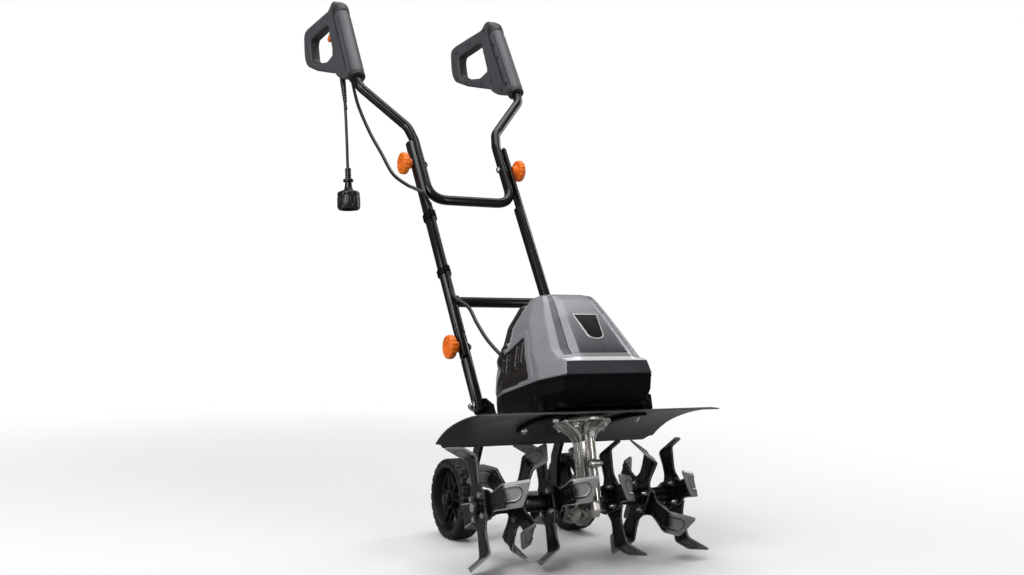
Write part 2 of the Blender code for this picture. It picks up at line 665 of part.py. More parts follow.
# rings of the housings: (z, [(half width, distance forward) x 5]), front panel to rear corner
BASE_RINGS = [
    (0.1448, [(0.050, 0.1130), (0.080, 0.1120), (0.1030, 0.0700), (0.1030, -0.0550),
              (0.0860, -0.1000)]),
    (0.1700, [(0.050, 0.1350), (0.084, 0.1340), (0.1068, 0.0780), (0.1068, -0.0550),
              (0.0880, -0.1130)]),
    (0.1958, [(0.050, 0.1440), (0.0837, 0.1428), (0.1068, 0.0880), (0.1068, -0.0500),
              (0.0880, -0.1120)])]
COVER_RINGS = [
    (0.1961, [(0.0500, 0.1443), (0.0838, 0.1431), (0.1068, 0.0880), (0.1068, -0.0500),
              (0.0880, -0.1115)]),
    (0.2196, [(0.0490, 0.1402), (0.0791, 0.1392), (0.1050, 0.0840), (0.1050, -0.0490),
              (0.0865, -0.1085)]),
    (0.2290, [(0.0480, 0.1345), (0.0810, 0.1150), (0.1035, 0.0800), (0.1035, -0.0480),
              (0.0860, -0.1060)]),
    (0.2458, [(0.0455, 0.1236), (0.0830, 0.0980), (0.1015, 0.0690), (0.1015, -0.0460),
              (0.0840, -0.1010)]),
    (0.3086, [(0.0365, 0.0821), (0.0665, 0.0600), (0.0850, 0.0370), (0.0850, -0.0300),
              (0.0680, -0.0605)]),
    (0.3420, [(0.0315, 0.0560), (0.0555, 0.0415), (0.0670, 0.0230), (0.0670, -0.0100),
              (0.0580, -0.0270)]),
    (0.3556, [(0.0300, 0.0390), (0.0500, 0.0309), (0.0570, 0.0200), (0.0570, -0.0010),
              (0.0500, -0.0080)]),
    (0.3585, [(0.0260, 0.0300), (0.0420, 0.0250), (0.0480, 0.0170), (0.0480, 0.0010),
              (0.0420, -0.0030)])]
# side vent, opening in the cover and panel in it: (y, z) in the power head
SIDE_OPENING = [(-0.0560, 0.2050), (-0.0300, 0.2760), (0.0000, 0.2760), (0.0800, 0.2440),
                (0.0850, 0.2080)]
SIDE_PANEL = [(-0.0553, 0.2053), (-0.0298, 0.2757), (-0.0001, 0.2757), (0.0797, 0.2438),
              (0.0847, 0.2083)]
REAR_HALF, REAR_Y, REAR_Z0, REAR_Z1 = 0.0500, 0.0300, 0.2400, 0.3300    # rear vent opening
REAR_DEPTH = 0.15            # y at which the rear vent cutters end
# motor cable path from its bend to its end at the cover, and the cutter for its hole there
CABLE_BEND = (-0.0760, 0.1700, 0.3455)
CABLE_HOLE_END = (-0.0640, 0.1460, 0.3305)
CABLE_R, CABLE_HOLE_R = 0.0035, 0.0039


def housing(name, rings, mat, inset=0.0, shift=(0.0, 0.0)):
    """Loft of mirrored rings; inset shrinks them, shift moves the first and last ring in z."""
    loops = []
    for z, points in rings:
        middle = sum(point[1] for point in points) / len(points)
        half_ring = [(width - inset, -(forward - (inset if forward > middle else -inset)), z)
                     for width, forward in points]
        loops.append(half_ring + [(-x, y, z) for x, y, z in half_ring[::-1]])
    for index, dz in ((0, shift[0]), (-1, shift[1])):
        loops[index] = [(x, y, z + dz) for x, y, z in loops[index]]
    return loft(name, loops, mat, HEAD)


def build_motor_base():
    """Tray open at the top, with a hole for the gearbox neck."""
    base = bevel(housing("motor_base", BASE_RINGS, BLACK), 0.003, 1, 25)
    base = cut(base, housing("inside", BASE_RINGS, BLACK, WALL, (WALL, 0.01)))
    base = cut(base, head_hole((0.13, 0.16), WORM_AXIS, 0.0180, 24))
    cut_guard_bolt_holes(base, (0.13, 0.155))


def vent_panel(shell, name, region):
    """The part of the cover's shell inside a region, in black."""
    panel = common(copy(shell, name), region)
    panel.data.materials.clear()
    panel.data.materials.append(BLACK)
    return panel


def build_motor_cover():
    """Hood open at the bottom, with side vents and a rear vent let into it."""
    cover = bevel(housing("motor_cover", COVER_RINGS, GREY), 0.0025, 1, 22)
    cover = cut(cover, housing("inside", COVER_RINGS, GREY, WALL, (-0.01, -WALL)))
    shell = copy(cover, "shell")
    for label, side in SIDES:
        ends = span(side, 0.060, 0.130)
        region = prism("region", SIDE_PANEL, ends, BLACK, HEAD)
        vent = vent_panel(shell, "side_vent_" + label, region)
        cover = cut(cover, prism("opening", SIDE_OPENING, ends, BLACK, HEAD))
        for k in range(4):
            y = -0.024 + 0.026 * k
            vent = cut(vent, box("slot", ends, (y, y + 0.010), (0.222, 0.262 - 0.0035 * k),
                                 BLACK, HEAD))
    rear = vent_panel(shell, "rear_vent", box(
        "region", (-REAR_HALF + GAP, REAR_HALF - GAP), (REAR_Y + GAP, REAR_DEPTH),
        (REAR_Z0 + GAP, REAR_Z1 - GAP), BLACK, HEAD))
    cover = cut(cover, box("opening", (-REAR_HALF, REAR_HALF), (REAR_Y, REAR_DEPTH),
                           (REAR_Z0, REAR_Z1), BLACK, HEAD))
    for k in range(5):
        rear = cut(rear, box("slot", (-0.040, 0.040), (0.02, REAR_DEPTH),
                             (0.2500 + 0.0150 * k, 0.2570 + 0.0150 * k), BLACK, HEAD))
    bpy.data.objects.remove(shell, do_unlink=True)
    cut(cover, rod("hole", CABLE_BEND, CABLE_HOLE_END, CABLE_HOLE_R, GREY, 10))


# ------------------------------------------------------------------ motor
# (from z, to z, radius, segments)
STATOR_STEPS = [(0.2020, 0.2640, 0.0420, 20),                                 # laminations
                (0.1960, 0.2030, 0.0370, 20), (0.2630, 0.2700, 0.0370, 20)]   # winding ends
ARMATURE_STEPS = [(0.2050, 0.2610, 0.0235, 16), (0.1520, 0.3060, SHAFT_R, 12),   # core, shaft
                  (0.1990, 0.2060, 0.0190, 14), (0.2600, 0.2680, 0.0190, 20),    # winding ends
                  (0.2750, 0.2920, 0.0120, 20)]                                  # commutator
STATOR_LEG_CIRCLE = 0.0400
# bridge over the upper shaft end: (x, z)
BRIDGE_OUTLINE = [
    (-0.0400, 0.2630), (-0.0400, 0.3070), (0.0400, 0.3070), (0.0400, 0.2630),
    (0.0340, 0.2630), (0.0340, 0.3000), (-0.0340, 0.3000), (-0.0340, 0.2630)]
BRIDGE_HALF_DEPTH = 0.0090
FAN_STEPS = [(0.1800, 0.1820, 0.0330, 20), (0.1795, 0.1900, 0.0080, 16)]    # disc, hub
FAN_BLADES = 8


def build_stator():
    """Ring on four legs, with the upper bearing bridge."""
    stator = stepped("motor_stator", 'Z', MOTOR_AXIS, STATOR_STEPS, LAMINATION, matrix=HEAD)
    for k in range(4):
        centre = polar(MOTOR_AXIS, STATOR_LEG_CIRCLE, math.pi / 4 + k * math.pi / 2)
        stator = union(stator, cylinder("leg", 'Z', (0.1490, 0.2050), centre, 0.0045, 6,
                                        LAMINATION, HEAD))
    stator = cut(stator, head_hole((0.18, 0.30), MOTOR_AXIS, 0.0250, 20))
    rings = [[(x, y, z) for x, z in BRIDGE_OUTLINE]
             for y in (-MOTOR_FORWARD - BRIDGE_HALF_DEPTH, -MOTOR_FORWARD + BRIDGE_HALF_DEPTH)]
    bridge = loft("bridge", rings, BLACK, HEAD, False)
    bridge = cut(bridge, head_hole((0.29, 0.32), MOTOR_AXIS, SHAFT_R + GAP, 16))
    union(stator, bridge)


def build_armature():
    armature = stepped("motor_armature", 'Z', MOTOR_AXIS, ARMATURE_STEPS, LAMINATION, matrix=HEAD)
    union(armature, toothed("pinion", PINION_TEETH, SPUR_MODULE, (0.1600, 0.1715),
                            SPUR_TOOTH_SHARE, STEEL, centre=MOTOR_AXIS,
                            rotation=-math.pi / 2 + math.pi / PINION_TEETH))


def build_fan():
    fan = stepped("cooling_fan", 'Z', MOTOR_AXIS, FAN_STEPS, BLACK, matrix=HEAD)
    for k in range(FAN_BLADES):
        turn = Matrix.Rotation(k * math.pi / 4, 4, 'Z')
        place = HEAD @ Matrix.Translation((*MOTOR_AXIS, 0)) @ turn
        fan = union(fan, box("blade", (0.0060, 0.0320), (-0.0008, 0.0008), (0.1815, 0.1890),
                             BLACK, place))
    cut(fan, head_hole((0.17, 0.20), MOTOR_AXIS, SHAFT_R + GAP, 16))


# ------------------------------------------------------------------ brackets and lower legs
BRACKET_X, BRACKET_HALF_T = 0.0920, 0.0020
# lower edge of the bracket, before the arc round the carriage pivot: (y, z)
BRACKET_LOWER = [
    (0.1580, 0.2470), (0.1330, 0.2225), (0.1150, 0.2190), (0.1030, 0.2122), (0.1075, 0.2078),
    (0.1270, 0.1900), (0.1500, 0.1985)]
# bolts along x: (from, to, radius, segments), distances from the middle
CARRIAGE_BOLT_STEPS = [(0.0810, 0.0950, PIVOT_BOLT_R, 16), (0.0935, 0.0990, 0.0075, 6)]
LEG_BOLT_STEPS = [
    (0.0860, 0.1255, PIVOT_BOLT_R, 16), (0.0853, 0.0897, 0.0070, 6),
    (0.1168, 0.1184, 0.0095, 16), (0.1183, 0.1235, 0.0065, 6)]


def build_handle_bracket(label, side):
    """Side plate with the carriage pivot bolt."""
    outline = BRACKET_LOWER + arc(CARRIAGE_PIVOT, 0.0125, 230, 380, 5)
    outline += arc(LEG_PIVOT, 0.0150, 30, 120, 4) + [(0.1640, 0.2570)]
    x = side * BRACKET_X
    bracket = prism("handle_bracket_" + label, outline, (x - BRACKET_HALF_T, x + BRACKET_HALF_T),
                    PAINT)
    bracket = cut(bracket, hole(LEG_PIVOT, PIVOT_BOLT_R + GAP, 16))
    union(bracket, *cylinders("bolt", 'X', CARRIAGE_PIVOT, CARRIAGE_BOLT_STEPS, side=side))


def lap_cutter(joint, ends, heights):
    """Block lined up with the handle; heights are measured along it from the joint."""
    place = Matrix.Translation((0, *joint)) @ Matrix.Rotation(-math.atan(SLOPE), 4, 'X')
    return box("lap", ends, (-0.02, 0.02), heights, matrix=place)


def frame_tube(name, side, low_joint, below, high_joint, above):
    """Handle tube reaching beyond two joints."""
    low = Vector((side * FRAME_X, *low_joint)) - ALONG * below
    high = Vector((side * FRAME_X, *high_joint)) + ALONG * above
    return rod(name, low, high, TUBE_R, PAINT)


def build_lower_leg(label, side):
    """Tube with a half lap at the top: only the inner half goes past the clamp bolt."""
    leg = frame_tube("lower_leg_" + label, side, LEG_PIVOT, 0.0130, LOW_KNOB, 0.0240)
    leg = cut(leg, lap_cutter(LOW_KNOB, span(side, FRAME_X - GAP, FRAME_X + 0.02),
                              (-LAP_HALF, 0.05)))
    cut(leg, hole(LOW_KNOB, BOLT_HOLE_R, 12), hole(LEG_PIVOT, PIVOT_BOLT_R + GAP, 16))


def build_leg_bolt(label, side):
    stepped("leg_bolt_" + label, 'X', LEG_PIVOT, LEG_BOLT_STEPS, side=side)


# ------------------------------------------------------------------ middle frame
def middle_tube(side):
    """Tube that keeps only its outer half at both laps."""
    part = frame_tube("middle_frame", side, LOW_KNOB, 0.0240, TOP_KNOB, 0.0550)
    inner = FRAME_X - 0.02
    part = cut(part, lap_cutter(LOW_KNOB, span(side, inner, FRAME_X + GAP), (-0.05, LAP_HALF)))
    part = cut(part, lap_cutter(TOP_KNOB, span(side, inner, FRAME_X), (-0.1040, 0.08)))
    return cut(part, hole(LOW_KNOB, BOLT_HOLE_R, 12), hole(TOP_KNOB, BOLT_HOLE_R, 12))


def build_middle_frame():
    """Two tubes and a cross bar."""
    left, right = middle_tube(-1), middle_tube(1)
    bar = Vector((0, *LOW_KNOB)) + ALONG * 0.1010
    frame = union(left, right, cylinder("bar", 'X', (-FRAME_X, FRAME_X), (bar.y, bar.z), 0.0100,
                                        14, PAINT))
    pivot(frame, *LOW_KNOB)


# ------------------------------------------------------------------ clamp bolts and knobs
CLAMP_BOLT_R = 0.0030
KNOB_R = 0.023
KNOB_POINTS, KNOB_NOTCH = 16, 0.0022     # points round the rim, every other one set in
KNOB_RINGS = [(0.1260, 0.002), (0.1280, 0.0), (0.1375, 0.0), (0.1395, 0.002)]    # (x, edge inset)


def build_clamp_bolt(level, label, side, joint, inner_x):
    steps = [(inner_x, 0.1330, CLAMP_BOLT_R, 12), (inner_x - 0.0035, inner_x + 0.0010, 0.0065, 12)]
    bolt = stepped("clamp_bolt_%s_%s" % (level, label), 'X', joint, steps, side=side)
    if level == "upper":
        pivot(bolt, *LOW_KNOB)


def build_knob(level, label, side, joint):
    """Neck with a lobed hand wheel outside it."""
    knob = cylinder("knob_%s_%s" % (level, label), 'X', span(side, 0.1171, 0.1270), joint, 0.0105,
                    16, ORANGE)
    rings = []
    for x, inset in KNOB_RINGS:
        ring = []
        for i in range(KNOB_POINTS):
            radius = KNOB_R - (KNOB_NOTCH if i % 2 == 0 else 0.0) - inset
            ring.append((side * x, *polar(joint, radius, 2 * math.pi * i / KNOB_POINTS)))
        rings.append(ring)
    knob = union(knob, loft("hand_wheel", rings, ORANGE))
    knob = cut(knob, cylinder("hole", 'X', span(side, 0.11, 0.1340), joint, CLAMP_BOLT_R + GAP, 12))
    pivot(knob, *joint)


def build_clamps():
    for level, joint, inner_x in (("lower", LOW_KNOB, FRAME_X - 0.0130),
                                  ("upper", TOP_KNOB, UPPER_X - 0.0120)):
        for label, side in SIDES:
            build_clamp_bolt(level, label, side, joint, inner_x)
            build_knob(level, label, side, joint)


# ------------------------------------------------------------------ upper handle tube
GRIP_X = 0.190
GRIP_LOW = Vector((GRIP_X, 0.6583, 0.8964))      # ends of the right grip's axis
GRIP_HIGH = Vector((GRIP_X, 0.7713, 1.0504))
UPPER_CROSS = -0.0905        # cross part of the handle, along it from the top knob


def upper_point(x, distance):
    """Point at x, a distance up the handle from the top knob."""
    joint = Vector((0, *TOP_KNOB)) + ALONG * distance
    return Vector((x, joint.y, joint.z))


def build_upper_handle():
    """One tube from grip to grip, crossing over below the top knobs."""
    half = [GRIP_LOW.lerp(GRIP_HIGH, 0.80), GRIP_LOW.lerp(GRIP_HIGH, -0.12),
            upper_point(0.1030, 0.0990), upper_point(UPPER_X, 0.0630),
            upper_point(UPPER_X - 0.0015, UPPER_CROSS), upper_point(0.0, UPPER_CROSS)]
    points = half + [Vector((-p.x, p.y, p.z)) for p in half[-2::-1]]
    radii = [0.030, 0.035, 0.020, 0.040]
    path = fillet(points, radii + [0.010] + radii[::-1])
    handle = tube("upper_handle", path, UPPER_R, PAINT)
    handle = cut(handle, cylinder("hole", 'X', (-0.12, 0.12), TOP_KNOB, BOLT_HOLE_R, 12))
    pivot(handle, *TOP_KNOB)


# ------------------------------------------------------------------ D grips
# side outlines: (y, z)
GRIP_OUTER = [
    (0.6760, 0.9020), (0.7080, 0.9000), (0.7260, 0.9010), (0.7580, 0.9110), (0.7730, 0.9210),
    (0.8010, 0.9240), (0.9000, 0.9410), (0.9680, 0.9590), (0.9860, 0.9740), (0.9950, 0.9950),
    (1.0020, 1.0330), (0.9950, 1.0440), (0.9770, 1.0490), (0.8270, 1.0670), (0.8130, 1.0790),
    (0.7990, 1.0830), (0.7830, 1.0790), (0.7700, 1.0600)]
GRIP_OPENING = [
    (0.7880, 0.9640), (0.8300, 0.9510), (0.9050, 0.9570), (0.9330, 0.9670), (0.9460, 1.0030),
    (0.9420, 1.0120), (0.8340, 1.0250), (0.8240, 1.0190)]
GRIP_HALF_T = 0.0120
LEAD_TOP = Vector((-GRIP_X, 0.7545, 0.9160))     # inner end of the mains lead's strain relief
CABLE_TOP = Vector((-GRIP_X, 0.7000, 0.9095))    # inner end of the motor cable
GRIP_ALONG = (GRIP_HIGH - GRIP_LOW).normalized()
GRIP_BACK = Vector((0.0, GRIP_ALONG.z, -GRIP_ALONG.y))   # backwards, square to the grip
# paddle with its lower end standing proud: (back from the grip axis, along it)
TRIGGER_OUTLINE = [
    (0.0500, 0.1360), (0.0740, 0.1400), (0.0800, 0.1440), (0.0780, 0.1490), (0.0670, 0.1640),
    (0.0640, 0.1750), (0.0600, 0.1775), (0.0500, 0.1775)]


def grip_frame(side):
    """(x across, y back from the grip axis, z along it), from the lower end of the axis."""
    return Matrix(((1, 0, 0, side * GRIP_X), (0, GRIP_BACK.y, GRIP_ALONG.y, GRIP_LOW.y),
                   (0, GRIP_BACK.z, GRIP_ALONG.z, GRIP_LOW.z), (0, 0, 0, 1)))


def build_grip(label, side):
    """Flat loop, round sleeve on the handle tube and a thicker spine behind the sleeve."""
    x, frame = side * GRIP_X, grip_frame(side)
    grip = prism("grip_" + label, GRIP_OUTER, (x - GRIP_HALF_T, x + GRIP_HALF_T), GRIP)
    ends = (x - GRIP_HALF_T - 0.01, x + GRIP_HALF_T + 0.01)
    grip = bevel(cut(grip, prism("opening", GRIP_OPENING, ends, GRIP)), 0.0040, 1, 50)
    low, high, bore_end = GRIP_LOW.copy(), GRIP_LOW.lerp(GRIP_HIGH, 1.06), GRIP_LOW.lerp(
        GRIP_HIGH, 0.82)
    low.x = high.x = bore_end.x = x
    length = (high - low).length
    sleeve = [(0.0, 0.0160), (0.0020, 0.0175), (length, 0.0175), (length + 0.0070, 0.0160),
              (length + 0.0120, 0.0110)]
    grip = union(grip, turned("sleeve", low, high, sleeve, GRIP, 20))
    spine = box("spine", (-0.0150, 0.0150), (0.0020, 0.0560), (0.0450, 0.1870), GRIP, frame)
    grip = union(grip, bevel(spine, 0.004))
    grip = cut(grip, rod("bore", low - GRIP_ALONG * 0.03, bore_end, UPPER_R + GAP, GRIP))
    if label == "left":
        # pockets for trigger and lock button, then holes for the mains lead and the motor cable
        grip = cut(
            grip,
            box("pocket", (-0.0065, 0.0065), (0.0440, 0.0660), (0.1335, 0.1800), GRIP, frame),
            box("pocket", (-0.0056, 0.0056), (0.0465, 0.0700), (0.1830, 0.1950), GRIP, frame),
            rod("hole", LEAD_TOP - Vector((0, 0.0220, 0.0570)),
                LEAD_TOP + Vector((0, 0.0004, 0.0010)), 0.0065, GRIP, 12),
            rod("hole", CABLE_TOP - Vector((0, 0.0120, 0.0164)),
                CABLE_TOP + Vector((0, 0.0003, 0.0004)), CABLE_HOLE_R, GRIP, 10))
    pivot(grip, *TOP_KNOB)


def build_switch_trigger():
    """Paddle in the left grip, hinged at its upper end on an axis along x."""
    frame = grip_frame(-1)
    trigger = bevel(prism("switch_trigger", TRIGGER_OUTLINE, (-0.0058, 0.0058), BLACK, frame),
                    0.0010, 1)
    hinge = frame @ Vector((0, 0.0545, 0.1730))
    pivot(trigger, hinge.y, hinge.z, hinge.x)


def build_lock_button():
    frame = grip_frame(-1)
    button = bevel(box("lock_button", (-0.0050, 0.0050), (0.0515, 0.0730), (0.1835, 0.1945),
                       ORANGE, frame), 0.0015)
    centre = frame @ Vector((0, 0.0620, 0.1890))
    pivot(button, centre.y, centre.z, centre.x)


# ------------------------------------------------------------------ cables and the mains lead
CABLE_OFFSET = FRONT * (TUBE_R + 0.0042)     # from the left tube's axis to the cable's
CLIPS = (0.168, 0.302)       # up the handle from the lower knob
CLIP_HALF = 0.0060


def left_tube_point(distance):
    return Vector((-FRAME_X, *LOW_KNOB)) + ALONG * distance


def build_lower_cable():
    points = [(-0.0893, 0.2900, 0.4337), (-0.0893, 0.2640, 0.4130), (-0.0880, 0.2050, 0.3720),
              CABLE_BEND, (-0.0660, 0.1500, 0.3330)]
    tube("motor_cable_lower", fillet(points, 0.02), CABLE_R, RUBBER)


def cable_clip(distance):
    """Ring round the frame tube joined to a ring round the cable."""
    centre = left_tube_point(distance)
    low, high = centre - ALONG * CLIP_HALF, centre + ALONG * CLIP_HALF
    clip = union(rod("clip", low, high, TUBE_R + 0.0030, RUBBER, 14),
                 rod("clip", low + CABLE_OFFSET, high + CABLE_OFFSET, 0.0062, RUBBER, 10))
    return cut(clip, rod("bore", low - ALONG * 0.01, high + ALONG * 0.01, TUBE_R + 0.0005, RUBBER))


def build_middle_cable():
    points = [left_tube_point(0.110) + CABLE_OFFSET, left_tube_point(0.300) + CABLE_OFFSET,
              (-0.1230, 0.4345, 0.6430), (-0.1400, 0.4500, 0.6570)]
    cable = tube("motor_cable_middle", fillet(points, 0.02), CABLE_R, RUBBER)
    for distance in CLIPS:
        cable = union(cable, cable_clip(distance))
    pivot(cable, *LOW_KNOB)


def build_upper_cable():
    points = [CABLE_TOP, (-0.1900, 0.6880, 0.8931), (-0.1880, 0.6532, 0.8391),
              (-0.1780, 0.6061, 0.7786), (-0.1690, 0.5600, 0.7332), (-0.1600, 0.5150, 0.6887),
              (-0.1480, 0.4680, 0.6650)]
    pivot(tube("motor_cable_upper", fillet(points, 0.03), CABLE_R, RUBBER), *TOP_KNOB)


def build_mains_lead():
    """Lead hanging from the left grip, with its strain relief and its coupling."""
    points = [(-GRIP_X, 0.7480, 0.8990), (-GRIP_X, 0.7233, 0.8355), (-GRIP_X, 0.7025, 0.7000),
              (-GRIP_X, 0.6935, 0.6500)]
    lead = tube("mains_lead", fillet(points, 0.03), 0.0030, RUBBER)
    relief_end = Vector((-GRIP_X, 0.7240, 0.8370))
    relief = [(0.0, 0.0061), (0.0250, 0.0061), ((relief_end - LEAD_TOP).length, 0.0036)]
    lead = union(lead, turned("relief", LEAD_TOP, relief_end, relief, RUBBER, 12))
    coupling = [(0.0, 0.0060), (0.0240, 0.0068), (0.0241, 0.0110), (0.0300, 0.0110),
                (0.0301, 0.0070), (0.0370, 0.0090), (0.0520, 0.0220), (0.0560, 0.0240),
                (0.0860, 0.0240), (0.0900, 0.0225)]
    lead = union(lead, turned("coupling", Vector((-GRIP_X, 0.7000, 0.7080)),
                              Vector((-GRIP_X, 0.6868, 0.6180)), coupling, RUBBER, 20))
    pivot(lead, *TOP_KNOB)


# ------------------------------------------------------------------ assembly
PAIRED = (build_guard_rail, build_tine_hub, build_tine_discs, build_wheel, build_wheel_arm,
          build_handle_bracket, build_lower_leg, build_leg_bolt, build_grip)
SINGLE = (build_guard, build_gearbox_case, build_worm_shaft, build_reduction_gear,
          build_worm_wheel, build_tine_axle, build_wheel_axle, build_motor_base,
          build_motor_cover, build_stator, build_armature, build_fan, build_middle_frame,
          build_clamps, build_upper_handle, build_switch_trigger, build_lock_button,
          build_lower_cable, build_middle_cable, build_upper_cable, build_mains_lead)

for build_piece in SINGLE:
    build_piece()
for build_piece in PAIRED:
    for side_name, side_sign in SIDES:
        build_piece(side_name, side_sign)
for piece in COLLECTION.objects:
    piece.location.y -= MID_Y
    piece.data.validate()
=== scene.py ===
"""Looks of an electric garden tiller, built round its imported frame.

Metres, z up. The front is -y, the handle rises towards the back (+y), and "left" is -x, as
seen from the front. Every piece is drawn with y = 0 over the tine axle and then moved forward
by FORWARD_SHIFT, as the frame is. Motor, guard and gearbox are drawn upright in the HEAD
frame, which has its origin on the tine axle and leans back.
"""
import math
from bisect import bisect_right

import bmesh
import bpy
from mathutils import Matrix, Vector


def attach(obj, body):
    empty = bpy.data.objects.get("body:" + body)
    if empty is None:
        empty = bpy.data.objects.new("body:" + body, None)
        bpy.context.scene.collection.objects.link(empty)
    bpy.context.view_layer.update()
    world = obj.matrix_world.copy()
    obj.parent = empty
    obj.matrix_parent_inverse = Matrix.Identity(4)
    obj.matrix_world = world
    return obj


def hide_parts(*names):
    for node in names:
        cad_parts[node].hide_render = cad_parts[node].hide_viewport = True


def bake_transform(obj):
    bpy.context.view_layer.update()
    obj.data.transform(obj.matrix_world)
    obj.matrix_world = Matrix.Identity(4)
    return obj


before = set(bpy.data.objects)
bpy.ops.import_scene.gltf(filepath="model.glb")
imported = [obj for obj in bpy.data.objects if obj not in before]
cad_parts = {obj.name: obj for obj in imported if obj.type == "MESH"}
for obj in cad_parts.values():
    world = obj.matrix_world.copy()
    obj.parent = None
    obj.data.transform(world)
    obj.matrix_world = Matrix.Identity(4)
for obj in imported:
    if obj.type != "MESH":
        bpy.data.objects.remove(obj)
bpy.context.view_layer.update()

SIDES = (("left", -1), ("right", 1))
FORWARD_SHIFT = 0.4477
TO_FRAME = Matrix.Translation((0, -FORWARD_SHIFT, 0))
AXLE_Z = 0.1075                 # tine axle
HEAD_PITCH = math.radians(15.8)
HEAD = Matrix.Translation((0, 0, AXLE_Z)) @ Matrix.Rotation(-HEAD_PITCH, 4, 'X')

TUBE_RADIUS, UPPER_RADIUS = 0.011, 0.010
FRAME_X = 0.1055                # axes of the lower legs and the middle frame
UPPER_X = 0.0952                # axes of the upper handle where it is clamped
HANDLE_SLOPE = 0.71             # run to the back per unit of height
LEG_PIVOT = (0.1965, 0.2500)    # (y, z)


def handle_yz(z):
    """The (y, z) of the handle line at height z."""
    return LEG_PIVOT[0] + (z - LEG_PIVOT[1]) * HANDLE_SLOPE, z


LOW_KNOB, TOP_KNOB = handle_yz(0.3535), handle_yz(0.7120)
ALONG = Vector((0.0, HANDLE_SLOPE, 1.0)).normalized()
FRONT = Vector((0.0, -ALONG.z, ALONG.y))    # square to the handle, to the front


def on_handle(x, anchor, distance):
    """Point on the handle line, a distance up it from a (y, z) anchor."""
    return Vector((x, *anchor)) + ALONG * distance


def head_point(x, y, z):
    return HEAD @ Vector((x, y, z))


# ------------------------------------------------------------------ shader nodes
def feed(tree, node, inputs):
    """Sets input sockets to numbers or tuples, or links them to outputs."""
    for key, value in inputs.items():
        socket = node.inputs[key]
        if isinstance(value, bpy.types.NodeSocket):
            tree.links.new(value, socket)
        else:
            socket.default_value = (*value, 1.0) if socket.type == 'RGBA' else value


def add_node(tree, kind, inputs, **settings):
    node = tree.nodes.new('ShaderNode' + kind)
    for key, value in settings.items():
        setattr(node, key, value)
    feed(tree, node, inputs)
    return node


def remap(tree, value, source, target, **settings):
    """Maps the (from, to) range source on to the range target."""
    inputs = {'From Min': source[0], 'From Max': source[1],
              'To Min': target[0], 'To Max': target[1], 'Value': value}
    return add_node(tree, 'MapRange', inputs, **settings).outputs[0]


def mix(tree, kind, factor, first, second):
    """Mixes two colours (kind 'RGBA') or two numbers (kind 'FLOAT')."""
    socket, result = (6, 2) if kind == 'RGBA' else (2, 0)
    inputs = {0: factor, socket: first, socket + 1: second}
    return add_node(tree, 'Mix', inputs, data_type=kind).outputs[result]


def srgb(*levels):
    """Linear colour from sRGB levels 0..255; a single level gives a grey."""
    if len(levels) == 1:
        levels *= 3
    return tuple(c / 12.92 if c <= 0.04045 else ((c + 0.055) / 1.055) ** 2.4
                 for c in (level / 255 for level in levels))


def grey(value):
    return (value, value, value)


